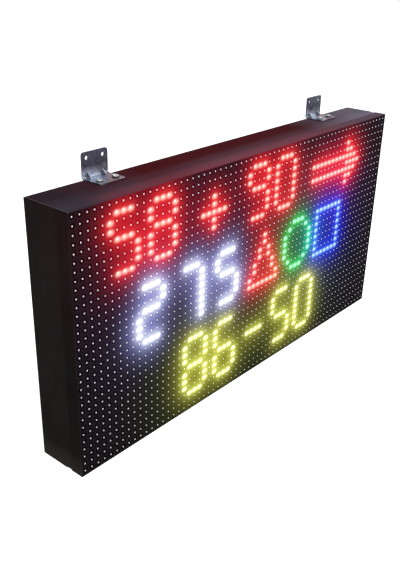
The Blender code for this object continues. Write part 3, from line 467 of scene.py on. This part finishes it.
def cell_pattern(face):
    """One mask cell about its lamp: a flat land round a chamfered hole with a floor."""
    angles = np.arange(CELL_SIDES) * 2 * math.pi / CELL_SIDES
    way = np.stack([np.cos(angles), np.sin(angles)], 1)
    square = way / np.abs(way).max(1, keepdims=True) * LAMP_PITCH / 2
    inner = HOLE_RADIUS - HOLE_CHAMFER
    rings = [
        (square, LAND_DEPTH),
        (way * HOLE_RADIUS, LAND_DEPTH),
        (way * inner, LAND_DEPTH + HOLE_CHAMFER),
        (way * (inner - HOLE_DRAFT), FLOOR_DEPTH),
    ]
    points = [(x, face.depth(depth), z) for ring, depth in rings for x, z in ring]
    faces = ring_faces(len(rings), CELL_SIDES)
    last = (len(rings) - 1) * CELL_SIDES
    faces.append(tuple(range(last, last + CELL_SIDES)))
    return np.array(points), faces


def louvre_pattern(face, width):
    """One louvre about the middle of its row of lamps, longest above each lamp."""
    steps = LAMPS_ACROSS * LOUVRE_STEPS
    points = []
    for i in range(steps + 1):
        x = (i / steps - 0.5) * width
        wave = (1 + math.cos(2 * math.pi * i / LOUVRE_STEPS)) / 2
        tip = LOUVRE_LONG_DEPTH + wave * (LOUVRE_SHORT_DEPTH - LOUVRE_LONG_DEPTH)
        root = LAND_DEPTH + LOUVRE_SINK
        section = [(root, -LOUVRE_ROOT), (tip, -LOUVRE_TIP), (tip, LOUVRE_TIP), (root, LOUVRE_ROOT)]
        points += [(x, face.depth(depth), LOUVRE_RISE + up / 2) for depth, up in section]
    faces = ring_faces(steps + 1, 4)
    faces.append((0, 1, 2, 3))
    faces.append(tuple(4 * steps + i for i in range(4)))
    return np.array(points), faces


def close_back(made, y):
    """Give an open plate its edges and its back."""
    mesh = bmesh.new()
    mesh.from_mesh(made.data)
    rim = [edge for edge in mesh.edges if edge.is_boundary]
    grown = bmesh.ops.extrude_edge_only(mesh, edges=rim)["geom"]
    for item in grown:
        if isinstance(item, bmesh.types.BMVert):
            item.co.y = y
    outer = [item for item in grown if isinstance(item, bmesh.types.BMEdge)]
    bmesh.ops.contextual_create(mesh, geom=outer)
    bmesh.ops.recalc_face_normals(mesh, faces=mesh.faces[:])
    mesh.to_mesh(made.data)
    mesh.free()


def face_outward(made):
    """Turn all faces of a closed mesh outward."""
    mesh = bmesh.new()
    mesh.from_mesh(made.data)
    bmesh.ops.recalc_face_normals(mesh, faces=mesh.faces[:])
    mesh.to_mesh(made.data)
    mesh.free()


def add_glow(made, face):
    """Store the light of the lit lamps on a mesh.

    Each point gets their haze, and each front face the cores of the lamps that reach it.
    """
    count = len(made.data.vertices)
    places = np.empty(count * 3)
    made.data.vertices.foreach_get("co", places)
    colours = np.ones((count, 4))
    colours[:, :3] = face.glow(places.reshape(-1, 3))
    layer = made.data.attributes.new("glow", "FLOAT_COLOR", "POINT")
    layer.data.foreach_set("color", colours.ravel())
    front = face.depth(FLOOR_DEPTH + HOLE_CHAMFER)
    cells = [face.cell_at(polygon.center.x, polygon.center.z) for polygon in made.data.polygons]
    in_front = [polygon.center.y < front for polygon in made.data.polygons]
    for number, (across, down) in enumerate(CORE_CELLS):
        cores = np.zeros((len(cells), 4))
        for i, (column, row) in enumerate(cells):
            colour = face.lit.get((column + across, row + down))
            if colour and in_front[i]:
                cores[i, :3] = LIT_COLOURS[colour]["core"]
        layer = made.data.attributes.new(f"core_{number}", "FLOAT_COLOR", "FACE")
        layer.data.foreach_set("color", cores.ravel())


def join(target, other):
    """Join a second object's mesh into the first."""
    mesh = bmesh.new()
    mesh.from_mesh(target.data)
    mesh.from_mesh(other.data)
    mesh.to_mesh(target.data)
    mesh.free()
    bpy.data.objects.remove(other, do_unlink=True)


def smooth(made, degrees):
    made.data.shade_smooth()
    made.data.set_sharp_from_angle(angle=math.radians(degrees))


def build_mask(face, name, materials):
    """A louvred mask with a real hole round each lamp."""
    low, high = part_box(f"mask_{name}")
    cells = face.module_cells(name)
    offsets = face.offsets(cells)
    pattern, pattern_faces = cell_pattern(face)
    points, faces = repeat_pattern(pattern, pattern_faces, offsets)
    points[:, 0] = np.clip(points[:, 0], low.x, high.x)
    points[:, 2] = np.clip(points[:, 2], low.z, high.z)
    made = mesh_object(f"louvred_mask_{name}", points, faces)
    on_land = LAND_RINGS * CELL_SIDES
    numbers = [0] * on_land + [1] * (len(pattern_faces) - on_land)
    made.data.polygons.foreach_set("material_index", numbers * len(cells))
    close_back(made, face.depth(MASK_BACK_DEPTH))
    middle_x = (low.x + high.x) / 2
    rows = sorted({row for _, row in cells})
    offsets = np.array([(middle_x, 0.0, face.place(0, row)[1]) for row in rows])
    points, faces = repeat_pattern(*louvre_pattern(face, high.x - low.x), offsets)
    join(made, mesh_object(f"louvres_{name}", points, faces))
    add_glow(made, face)
    for material in materials:
        made.data.materials.append(material)
    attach(made, "root")
    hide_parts(f"mask_{name}")


def lamp_pattern(face):
    """One lamp: a square body with rounded corners and a low lens."""
    angles = (np.arange(LAMP_SIDES) + 0.5) * 2 * math.pi / LAMP_SIDES
    way = np.stack([np.cos(angles), np.sin(angles)], 1)
    size = (np.abs(way) ** LAMP_SQUARENESS).sum(1, keepdims=True) ** (1 / LAMP_SQUARENESS)
    outline = way / size * (LAMP_HALF_WIDTH, LAMP_HALF_HEIGHT)
    points = []
    for share, depth in LAMP_RINGS:
        points += [(x * share, face.depth(depth), z * share) for x, z in outline]
    faces = ring_faces(len(LAMP_RINGS), LAMP_SIDES)
    last = (len(LAMP_RINGS) - 1) * LAMP_SIDES
    tip = len(points)
    points.append((0.0, face.depth(LAMP_TIP_DEPTH), 0.0))
    faces += [(last + i, last + (i + 1) % LAMP_SIDES, tip) for i in range(LAMP_SIDES)]
    faces.append(tuple(range(LAMP_SIDES)))
    return np.array(points), faces


def build_lamps(face, name, casing_material, off_material, lit_materials):
    """All lamps of a module, each lit or not, in a dark casing."""
    cells = face.module_cells(name)
    offsets = face.offsets(cells)
    pattern, pattern_faces = lamp_pattern(face)
    points, faces = repeat_pattern(pattern, pattern_faces, offsets)
    made = mesh_object(f"lamps_{name}", points, faces)
    made.data.materials.append(off_material)
    made.data.materials.append(casing_material)
    slots = {}
    for number, (colour, material) in enumerate(lit_materials.items(), start=2):
        made.data.materials.append(material)
        slots[colour] = number
    chosen = np.array([slots.get(face.lit.get(cell), 0) for cell in cells])
    numbers = np.repeat(chosen, len(pattern_faces)).reshape(len(cells), -1)
    numbers[:, :CASING_RINGS * LAMP_SIDES] = 1
    made.data.polygons.foreach_set("material_index", numbers.ravel())
    face_outward(made)
    add_glow(made, face)
    smooth(made, LAMP_SMOOTH_DEGREES)
    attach(made, "root")


def cross_outline(angles, radius):
    """Radius of a cross recess at each angle: long along its four arms and short between them."""
    waist = CROSS_WAIST * radius
    reach = CROSS_REACH * radius
    across = np.maximum(np.abs(np.cos(angles)), np.abs(np.sin(angles)))
    aside = np.minimum(np.abs(np.cos(angles)), np.abs(np.sin(angles)))
    return np.minimum(reach / across, waist / np.maximum(aside, waist / reach))


def screw_rings(angles, radius, low, high):
    """Radius and height of each ring of points, from the shank's tip over the head into the recess."""
    under = high - SCREW_HEAD_HEIGHT
    rim = under + SCREW_HEAD_HEIGHT * SCREW_RIM_SHARE
    dome = high - rim
    cross = cross_outline(angles, radius)
    flat = np.ones(len(angles))
    rings = [(flat * SCREW_SHANK_RADIUS, flat * low), (flat * SCREW_SHANK_RADIUS, flat * under)]
    rings.append((flat * radius, flat * under))
    for step in range(DOME_STEPS):
        turn = step / DOME_STEPS * math.pi / 2
        reach = np.maximum(radius * math.cos(turn), cross * CROSS_RIM_SHARE)
        rings.append((reach, rim + dome * np.sqrt(np.maximum(0.0, 1 - (reach / radius) ** 2))))
    rings.append((cross, rim + dome * np.sqrt(1 - (cross / radius) ** 2)))
    rings.append((cross * CROSS_FLOOR_SHARE, flat * (high - CROSS_DEPTH)))
    return rings


def build_screw(name, material):
    """A domed pan-head screw with a cross recess, pointing down, in place of the plain CAD one."""
    low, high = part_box(name)
    middle = (low + high) / 2
    angles = np.arange(SCREW_SIDES) * 2 * math.pi / SCREW_SIDES
    rings = screw_rings(angles, (high.x - low.x) / 2, low.z, high.z)
    points = []
    for reach, height in rings:
        for away, angle, z in zip(reach, angles, height):
            points.append((middle.x + away * math.cos(angle), middle.y + away * math.sin(angle), z))
    faces = ring_faces(len(rings), SCREW_SIDES)
    last = (len(rings) - 1) * SCREW_SIDES
    faces.append(tuple(range(SCREW_SIDES)))
    faces.append(tuple(range(last, last + SCREW_SIDES)))
    made = mesh_object(f"pan_head_{name}", np.array(points), faces)
    face_outward(made)
    smooth(made, SCREW_SMOOTH_DEGREES)
    made.data.materials.append(material)
    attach(made, "root")
    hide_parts(name)


class Finish:
    """A Principled material with its helper nodes."""

    def __init__(self, name, colour, roughness, metallic=0.0, specular=0.5):
        self.material = bpy.data.materials.new(name)
        self.material.use_nodes = True
        self.tree = self.material.node_tree
        self.shader = self.tree.nodes["Principled BSDF"]
        self.colour = colour
        self.shader.inputs["Base Color"].default_value = (*colour, 1.0)
        self.shader.inputs["Roughness"].default_value = roughness
        self.shader.inputs["Metallic"].default_value = metallic
        self.shader.inputs["Specular IOR Level"].default_value = specular
        self.roughness = roughness
        self.place = self.tree.nodes.new("ShaderNodeTexCoord").outputs["Object"]

    def link(self, output, target):
        self.tree.links.new(output, target)

    def noise(self, size, detail=4.0, stretch=(1.0, 1.0, 1.0)):
        """Noise of a given size in metres, stretched along the axes by the given factors."""
        mapping = self.tree.nodes.new("ShaderNodeMapping")
        mapping.inputs["Scale"].default_value = [1.0 / (size * factor) for factor in stretch]
        self.link(self.place, mapping.inputs["Vector"])
        texture = self.tree.nodes.new("ShaderNodeTexNoise")
        texture.inputs["Scale"].default_value = 1.0
        texture.inputs["Detail"].default_value = detail
        self.link(mapping.outputs["Vector"], texture.inputs["Vector"])
        return texture.outputs["Fac"]

    def spread(self, value, low, high, to_low, to_high):
        """A value spread from one span onto another, and held at its ends."""
        node = self.tree.nodes.new("ShaderNodeMapRange")
        node.inputs["From Min"].default_value = low
        node.inputs["From Max"].default_value = high
        node.inputs["To Min"].default_value = to_low
        node.inputs["To Max"].default_value = to_high
        self.link(value, node.inputs["Value"])
        return node.outputs["Result"]

    def math(self, operation, *values):
        node = self.tree.nodes.new("ShaderNodeMath")
        node.operation = operation
        for socket, value in zip(node.inputs, values):
            if isinstance(value, (int, float)):
                socket.default_value = value
            else:
                self.link(value, socket)
        return node.outputs["Value"]

    def vector(self, operation, *values):
        """Vector arithmetic, or the single value that it gives for a dot product."""
        node = self.tree.nodes.new("ShaderNodeVectorMath")
        node.operation = operation
        for socket, value in zip(node.inputs, values):
            if isinstance(value, tuple):
                socket.default_value = value
            else:
                self.link(value, socket)
        return node.outputs["Value" if operation == "DOT_PRODUCT" else "Vector"]

    def product(self, *values):
        result = values[0]
        for value in values[1:]:
            result = self.math("MULTIPLY", result, value)
        return result

    def emit(self, light):
        self.link(light, self.shader.inputs["Emission Color"])
        self.shader.inputs["Emission Strength"].default_value = 1.0

    def stored_colour(self, name):
        """A colour stored on the mesh."""
        node = self.tree.nodes.new("ShaderNodeAttribute")
        node.attribute_name = name
        return node.outputs["Vector"]

    def overlay(self, factor, colour):
        """Lay a colour over the base colour, as far as the factor goes."""
        base = self.shader.inputs["Base Color"]
        self.link(self.mix(factor, base.links[0].from_socket, colour), base)

    def darken(self, factor, tint=(0.0, 0.0, 0.0)):
        """Keep the factor's share of the base colour, and fill up with the tint."""
        base = self.shader.inputs["Base Color"]
        self.link(self.mix(factor, tint, base.links[0].from_socket), base)

    def mix(self, factor, first, second):
        node = self.tree.nodes.new("ShaderNodeMix")
        node.data_type = "RGBA"
        self.link(factor, node.inputs["Factor"])
        for socket, value in ((node.inputs[6], first), (node.inputs[7], second)):
            if isinstance(value, tuple):
                socket.default_value = (*value, 1.0)
            else:
                self.link(value, socket)
        return node.outputs[2]

    def vary_colour(self, value, darker, lighter):
        """Vary the base colour between two shares of itself."""
        first = tuple(channel * darker for channel in self.colour)
        second = tuple(channel * lighter for channel in self.colour)
        self.mix_colours(value, first, second)

    def mix_colours(self, value, first, second):
        """A base colour between two others, by a noise."""
        result = self.mix(self.spread(value, *NOISE_SPAN, 0.0, 1.0), first, second)
        self.link(result, self.shader.inputs["Base Color"])

    def vary_roughness(self, value, spread):
        low, high = self.roughness - spread, self.roughness + spread
        result = self.spread(value, *NOISE_SPAN, low, high)
        self.link(result, self.shader.inputs["Roughness"])

    def bump(self, value, distance):
        node = self.tree.nodes.new("ShaderNodeBump")
        node.inputs["Distance"].default_value = distance
        node.inputs["Strength"].default_value = 1.0
        self.link(value, node.inputs["Height"])
        self.link(node.outputs["Normal"], self.shader.inputs["Normal"])

    def facing(self, direction):
        """1 on faces that look in a direction, 0 on the others."""
        normal = self.tree.nodes.new("ShaderNodeNewGeometry").outputs["Normal"]
        return self.spread(self.vector("DOT_PRODUCT", normal, direction), *FACING_SPAN, 0.0, 1.0)

    def facing_either(self, first, second):
        return self.math("MAXIMUM", self.facing(first), self.facing(second))

    def axis(self, letter):
        """Place along one axis, in metres."""
        split = self.tree.nodes.new("ShaderNodeSeparateXYZ")
        self.link(self.place, split.inputs["Vector"])
        return split.outputs[letter]


def mask_finish(face):
    made = Finish("louvred_mask_black", (0.0088, 0.0068, 0.0092), roughness=0.6, specular=0.01)
    made.vary_colour(made.noise(0.003), darker=0.7, lighter=1.3)
    made.bump(made.noise(0.0006), distance=0.00004)
    add_glow_emission(made, face)
    return made.material


def recess_finish(face):
    """The dark potting compound round each lamp."""
    made = Finish("recess_potting", (0.0012, 0.0009, 0.0012), roughness=0.7, specular=0.0)
    made.vary_colour(made.noise(0.006), darker=0.7, lighter=1.4)
    made.bump(made.noise(0.0008), distance=0.00003)
    add_glow_emission(made, face)
    return made.material


def casing_finish(face):
    made = Finish("lamp_casing_black", (0.0040, 0.0036, 0.0040), roughness=0.5, specular=0.05)
    made.vary_colour(made.noise(0.004), darker=0.8, lighter=1.3)
    add_glow_emission(made, face)
    return made.material


def add_glow_emission(made, face, haze=1.0):
    """Emit the light stored on the mesh: the haze, and the cores of this cell's and nearby lamps.

    Each core fades out from a little under its lamp's middle.
    """
    cells = made.vector("SUBTRACT", made.place, (face.middle_x, 0.0, face.middle_z))
    cells = made.vector("DIVIDE", cells, (LAMP_PITCH, 1.0, LAMP_PITCH))
    in_cell = made.vector("FRACTION", cells)
    shares = (LAMP_PITCH / CORE_HALF_WIDTH, 0.0, LAMP_PITCH / CORE_HALF_HEIGHT)
    light = made.vector("MULTIPLY", made.stored_colour("glow"), (haze, haze, haze))
    for number, (across, down) in enumerate(CORE_CELLS):
        middle = (0.5 + across, 0.0, 0.5 - down - CORE_DROP / LAMP_PITCH)
        away = made.vector("MULTIPLY", made.vector("SUBTRACT", in_cell, middle), shares)
        squared = made.vector("DOT_PRODUCT", away, away)
        power = made.math("MULTIPLY", made.math("POWER", squared, CORE_POWER), -1.0)
        fade = made.math("EXPONENT", power)
        core = made.stored_colour(f"core_{number}")
        light = made.vector("MULTIPLY_ADD", core, fade, light)
    made.emit(light)


def lamp_off_finish(face):
    made = Finish("lamp_white_body", (0.76, 0.71, 0.74), roughness=0.3, specular=0.5)
    made.vary_colour(made.noise(0.010), darker=0.86, lighter=1.0)
    add_glow_emission(made, face, UNLIT_LAMP_GLOW)
    return made.material


def lit_finish(name, light):
    """A lit lamp, which shows bright but lights nothing: its haze on the mask is stored there."""
    body = tuple(min(channel, LIT_BODY_LIMIT) for channel in light)
    made = Finish(f"lamp_lit_{name}", body, roughness=0.3)
    made.vary_colour(made.noise(0.002), darker=0.95, lighter=1.0)
    strongest = max(light)
    shares = tuple(channel / strongest for channel in light)
    made.shader.inputs["Emission Color"].default_value = (*shares, 1.0)
    made.shader.inputs["Emission Strength"].default_value = strongest
    made.material.cycles.emission_sampling = "NONE"
    return made.material


def rail_finish(name, stretch, darker, lighter):
    """Black satin coat on an extrusion, with faint die lines along it and a duller front band."""
    made = Finish(name, darker, roughness=0.42, specular=0.001)
    lines = made.noise(DIE_LINE_WIDTH, detail=2.0, stretch=stretch)
    made.mix_colours(made.noise(0.05), darker, lighter)
    made.darken(made.spread(made.axis("Y"), *FRONT_BAND_DEPTH))
    made.darken(made.spread(lines, *DIE_LINE_SHADE))
    made.vary_roughness(lines, spread=0.05)
    made.bump(made.math("ADD", lines, made.noise(0.0009)), distance=0.00002)
    return made


def side_rail_finish(name):
    """A side rail, lighter at its foot by painted bounce light from the floor, with a trace of the red
    haze painted on as glow high up at its front.
    """
    made = rail_finish(name, ALONG_Z, *SIDE_COATS)
    # painted bounce light from the floor: a lighter coat laid over the rail's foot
    made.overlay(made.spread(made.axis("Z"), *FLOOR_BOUNCE_RISE), FLOOR_BOUNCE_COAT)
    upper = made.spread(made.axis("Z"), *SIDE_HAZE_RISE)
    haze = made.product(upper, made.spread(made.axis("Y"), *SIDE_HAZE_DEPTH))
    made.emit(made.vector("MULTIPLY", haze, SIDE_HAZE))
    return made.material


def top_rail_finish(left_end):
    """The top rail catches the display's haze, painted on as glow, most at its front, and has a pale
    painted highlight at its left end and a pale painted sheen at its right end.
    """
    # painted shade: the top rail takes a darker copy of the coat that the other rails have
    made = rail_finish("rail_coat_top", ALONG_X, *SHADED_TOP_COATS)
    across, depth = made.axis("X"), made.axis("Y")
    edge = left_end + EDGE_HIGHLIGHT_WIDTH
    # painted highlight: a pale line along the left end's edge
    made.overlay(made.spread(across, edge, edge + EDGE_HIGHLIGHT_FADE, 1.0, 0.0), EDGE_HIGHLIGHT_COAT)
    # painted sheen: a pale bluish coat laid over the rear of the right end
    painted_sheen = made.product(made.spread(across, *PAINTED_SHEEN_ACROSS), made.spread(depth, *PAINTED_SHEEN_DEPTH))
    made.overlay(painted_sheen, PAINTED_SHEEN_COAT)
    red_front = made.product(made.spread(depth, *RED_FRONT_DEPTH), made.spread(across, *RED_FRONT_ACROSS))
    red = made.math("ADD", red_front, made.spread(across, *RED_REAR_ACROSS))
    red = made.product(red, made.spread(across, *RED_RIGHT_FADE))
    pale = made.product(
        made.spread(depth, *PALE_DEPTH),
        made.spread(across, *PALE_LEFT_ACROSS),
        made.spread(across, *PALE_MIDDLE_ACROSS),
    )
    grey = made.spread(across, *GREY_ACROSS)
    light = made.vector("MULTIPLY", red, RED_HAZE)
    light = made.vector("ADD", light, made.vector("MULTIPLY", pale, PALE_HAZE))
    light = made.vector("ADD", light, made.vector("MULTIPLY", grey, GREY_HAZE))
    outside = made.facing_either((0.0, 0.0, 1.0), (0.0, -1.0, 0.0))
    made.emit(made.vector("MULTIPLY", light, outside))
    return made.material


def galvanised_finish(name):
    """Zinc with a fine spangle, bright on the foot, and darkened and tinted up the upright by painted
    shade.

    The foot is darker and browner at its right, and all edges are dark.
    """
    low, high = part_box(name)
    foot_top = low.z + BRACKET_SHEET
    made = Finish(f"galvanised_{name}", ZINC, roughness=0.36, metallic=1.0)
    spangle = made.tree.nodes.new("ShaderNodeTexVoronoi")
    spangle.inputs["Scale"].default_value = SPANGLE_SCALE
    made.link(made.place, spangle.inputs["Vector"])
    cells = made.product(spangle.outputs["Distance"], SPANGLE_SHARES[0])
    clouds = made.product(made.noise(0.006), SPANGLE_SHARES[1])
    made.vary_colour(made.math("ADD", cells, clouds), darker=0.78, lighter=1.22)
    height = made.axis("Z")
    # the foot turns darker and browner towards its right, along a slant
    slant = made.vector("DOT_PRODUCT", made.place, (1.0, -RIGHT_TONE_SLANT, 0.0))
    corner = low.x - RIGHT_TONE_SLANT * high.y
    right_tone = made.spread(slant, *(corner + way for way in RIGHT_TONE_WAY), 0.0, 1.0)
    on_foot = made.spread(height, foot_top, foot_top + BRACKET_SHEET, 1.0, 0.0)
    made.overlay(made.product(right_tone, on_foot), FOOT_RIGHT_TONE)
    # painted shade: the upright is darkened and tinted from a wavy line above the bend, and more so
    # higher up
    wave = made.spread(made.noise(0.010, detail=1.0), *NOISE_SPAN, -UPRIGHT_SHADE_WAVE, UPRIGHT_SHADE_WAVE)
    bend = made.math("ADD", height, wave)
    upright_shade = made.spread(bend, *(foot_top + rise for rise in UPRIGHT_SHADE_RISE), 1.0, UPRIGHT_SHADE_SHARE)
    upper = made.spread(height, *(foot_top + rise for rise in UPPER_SHADE_RISE), 1.0, UPPER_SHADE_SHARE)
    sides = made.facing_either((1.0, 0.0, 0.0), (-1.0, 0.0, 0.0))
    at_top = made.spread(height, *(high.z - drop for drop in TOP_EDGE_DROP), 0.0, 1.0)
    edges = made.math("MAXIMUM", sides, made.product(made.facing((0.0, 0.0, 1.0)), at_top))
    clean = made.spread(edges, 0.0, 1.0, 1.0, EDGE_SHARE)
    made.darken(made.product(upright_shade, clean, upper), UPRIGHT_SHADE_TINT)
    made.vary_roughness(made.noise(0.004), spread=0.08)
    made.bump(made.noise(0.0012), distance=0.00004)
    return made.material


def screw_finish(top):
    """Bright plated heads, with painted shade darkening the recess and the rim."""
    made = Finish("bracket_screw_plate", (0.66, 0.68, 0.72), roughness=0.22, metallic=1.0)
    made.vary_colour(made.noise(0.002), darker=0.8, lighter=1.12)
    span = (top - SCREW_HEAD_HEIGHT * share for share in SCREW_SHADE_DROP)
    # painted shade: the head darkens from near its top down to the rim and into the recess
    made.darken(made.spread(made.axis("Z"), *span, SCREW_SHADE_SHARE, 1.0))
    made.vary_roughness(made.noise(0.001), spread=0.05)
    made.bump(made.noise(0.0004), distance=0.00001)
    return made.material


def plain_metal(name, colour, roughness, size=0.004):
    made = Finish(name, colour, roughness=roughness, metallic=1.0)
    made.vary_colour(made.noise(size), darker=0.85, lighter=1.12)
    made.vary_roughness(made.noise(size / 2), spread=0.05)
    made.bump(made.noise(size / 6), distance=0.00002)
    return made.material


def plain_coat(name, colour, roughness, size=0.004, specular=0.3, grain=0.00003):
    made = Finish(name, colour, roughness=roughness, specular=specular)
    made.vary_colour(made.noise(size * 4), darker=0.86, lighter=1.12)
    made.vary_roughness(made.noise(size), spread=0.06)
    made.bump(made.noise(size / 5), distance=grain)
    return made.material


def board_finish():
    """Green solder resist with faint tracks."""
    made = Finish("board_resist", (0.012, 0.085, 0.035), roughness=0.35, specular=0.5)
    tracks = made.tree.nodes.new("ShaderNodeTexBrick")
    tracks.inputs["Scale"].default_value = TRACK_SCALE
    tracks.inputs["Mortar Size"].default_value = TRACK_WIDTH
    for name, colour in TRACK_COLOURS.items():
        tracks.inputs[name].default_value = (*colour, 1.0)
    turned = made.tree.nodes.new("ShaderNodeMapping")
    turned.inputs["Rotation"].default_value = (math.pi / 2, 0.0, 0.0)
    made.link(made.place, turned.inputs["Vector"])
    made.link(turned.outputs["Vector"], tracks.inputs["Vector"])
    made.link(tracks.outputs["Color"], made.shader.inputs["Base Color"])
    made.bump(made.noise(0.001), distance=0.00002)
    return made.material


def ribbon_finish():
    """Grey ribbon cable with a ridge for each wire."""
    made = Finish("ribbon_grey", (0.36, 0.37, 0.39), roughness=0.5, specular=0.3)
    wires = made.noise(WIRE_PITCH, detail=1.0, stretch=ALONG_WIRES)
    made.vary_colour(wires, darker=0.8, lighter=1.1)
    made.bump(wires, distance=0.0001)
    return made.material


def dress_frame(nodes, screw_plate):
    """Give each CAD node that stays the finish of the longest name that its own starts with."""
    rear_plate = plain_metal("rear_screw_plate", (0.50, 0.50, 0.52), 0.3, 0.002)
    board = board_finish()
    ribbon = ribbon_finish()
    lead = plain_coat("lead_red", (0.34, 0.018, 0.018), 0.45, 0.002)
    finishes = {
        "top_rail": top_rail_finish(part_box("top_rail")[0].x),
        "bottom_rail": rail_finish("rail_coat_bottom", ALONG_X, *SIDE_COATS).material,
        "left_rail": side_rail_finish("rail_coat_left"),
        "right_rail": side_rail_finish("rail_coat_right"),
        "bracket_screw": screw_plate,
        "bracket_left": galvanised_finish("bracket_left"),
        "bracket_right": galvanised_finish("bracket_right"),
        "cover_screw": rear_plate,
        "supply_screw": rear_plate,
        "strip_screw": rear_plate,
        "corner_key": plain_metal("corner_key_steel", (0.35, 0.36, 0.38), 0.4),
        "mounting_strip": plain_metal("mounting_strip_steel", (0.40, 0.42, 0.45), 0.4),
        "rear_cover": plain_coat("rear_cover_coat", (0.018, 0.018, 0.019), 0.5, 0.005, 0.15),
        "cable_bush": plain_coat("cable_bush_rubber", (0.012, 0.012, 0.012), 0.8, 0.003, 0.2),
        "supply_chassis": plain_metal("supply_chassis_sheet", (0.60, 0.61, 0.62), 0.38),
        "supply_lid": plain_metal("supply_lid_sheet", (0.56, 0.57, 0.58), 0.42),
        "supply_terminals": plain_coat("terminal_moulding", (0.03, 0.03, 0.032), 0.45),
        "control_card": board,
        "board": board,
        "back_frame": plain_coat("back_frame_moulding", (0.022, 0.022, 0.024), 0.6),
        "card_pad": plain_coat("foam_white", (0.72, 0.72, 0.69), 0.9, 0.002, 0.2, 0.0003),
        "link_ribbon": ribbon,
        "card_ribbon": ribbon,
        "power_lead": lead,
        "card_lead": lead,
    }
    for name, node in nodes.items():
        stem = max((key for key in finishes if name.startswith(key)), key=len, default=None)
        if stem is None:
            continue
        for place in node.material_slots:
            place.material = finishes[stem]


def aimed(place, target):
    """Where a camera or a light stands and looks."""
    ahead = Vector(target) - Vector(place)
    return Matrix.Translation(place) @ ahead.to_track_quat("-Z", "Y").to_matrix().to_4x4()


def add_camera():
    data = bpy.data.cameras.new("camera")
    data.lens = LENS_MM
    made = bpy.data.objects.new("camera", data)
    bpy.context.scene.collection.objects.link(made)
    made.matrix_world = aimed(CAMERA_PLACE, CAMERA_TARGET) @ Matrix.Rotation(CAMERA_ROLL, 4, "Z")
    bpy.context.scene.camera = made


def seen_directly(tree):
    """1 for camera, glossy and transmission rays, 0 for the rest."""
    path = tree.nodes.new("ShaderNodeLightPath")
    seen = path.outputs["Is Camera Ray"]
    for name in ("Is Glossy Ray", "Is Transmission Ray"):
        either = tree.nodes.new("ShaderNodeMath")
        either.operation = "MAXIMUM"
        tree.links.new(seen, either.inputs[0])
        tree.links.new(path.outputs[name], either.inputs[1])
        seen = either.outputs["Value"]
    return seen


def add_world():
    """White where it is seen, and a plain soft light elsewhere."""
    world = bpy.data.worlds.new("studio")
    bpy.context.scene.world = world
    world.use_nodes = True
    tree = world.node_tree
    background = tree.nodes["Background"]
    background.inputs["Color"].default_value = (1.0, 1.0, 1.0, 1.0)
    mix = tree.nodes.new("ShaderNodeMapRange")
    mix.inputs["To Min"].default_value = WORLD_STRENGTH
    mix.inputs["To Max"].default_value = 1.0
    tree.links.new(seen_directly(tree), mix.inputs["Value"])
    tree.links.new(mix.outputs["Result"], background.inputs["Strength"])


def add_floor():
    """A pale floor that shows white but keeps the object's shadow."""
    data = bpy.data.meshes.new("floor")
    ways = ((-1, -1), (1, -1), (1, 1), (-1, 1))
    corners = [(x * FLOOR_REACH, y * FLOOR_REACH, 0.0) for x, y in ways]
    data.from_pydata(corners, [], [(0, 1, 2, 3)])
    floor = bpy.data.objects.new("floor", data)
    bpy.context.scene.collection.objects.link(floor)
    floor.location.z = -FLOOR_DROP
    made = Finish("floor_white", (FLOOR_GREY, FLOOR_GREY, FLOOR_GREY), roughness=1.0, specular=0.0)
    made.shader.inputs["Emission Color"].default_value = (1.0, 1.0, 1.0, 1.0)
    shown = made.spread(seen_directly(made.tree), 0.0, 1.0, 0.0, FLOOR_GREY)
    made.link(shown, made.shader.inputs["Emission Strength"])
    data.materials.append(made.material)


def add_light(name, place, power, colour):
    data = bpy.data.lights.new(name, "AREA")
    data.shape = "DISK"
    data.size = LIGHT_SIZE
    data.energy = power
    data.color = colour
    made = bpy.data.objects.new(name, data)
    bpy.context.scene.collection.objects.link(made)
    made.matrix_world = aimed(place, LIGHT_TARGET)


def main():
    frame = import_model()
    face = Face()
    mask = (mask_finish(face), recess_finish(face))
    casing = casing_finish(face)
    lamp_off = lamp_off_finish(face)
    lit = {name: lit_finish(name, light["lamp"]) for name, light in LIT_COLOURS.items()}
    for name in MODULE_NAMES:
        build_mask(face, name, mask)
        build_lamps(face, name, casing, lamp_off, lit)
    screw_plate = screw_finish(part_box("bracket_screw_left_left")[1].z)
    dress_frame(frame["nodes"], screw_plate)
    for name in sorted(frame["nodes"]):
        if name.startswith("bracket_screw_"):
            build_screw(name, screw_plate)
    add_camera()
    add_world()
    add_floor()
    for name, light in LIGHTS.items():
        add_light(name, *light)
    bpy.context.scene.view_settings.view_transform = "Standard"


main()
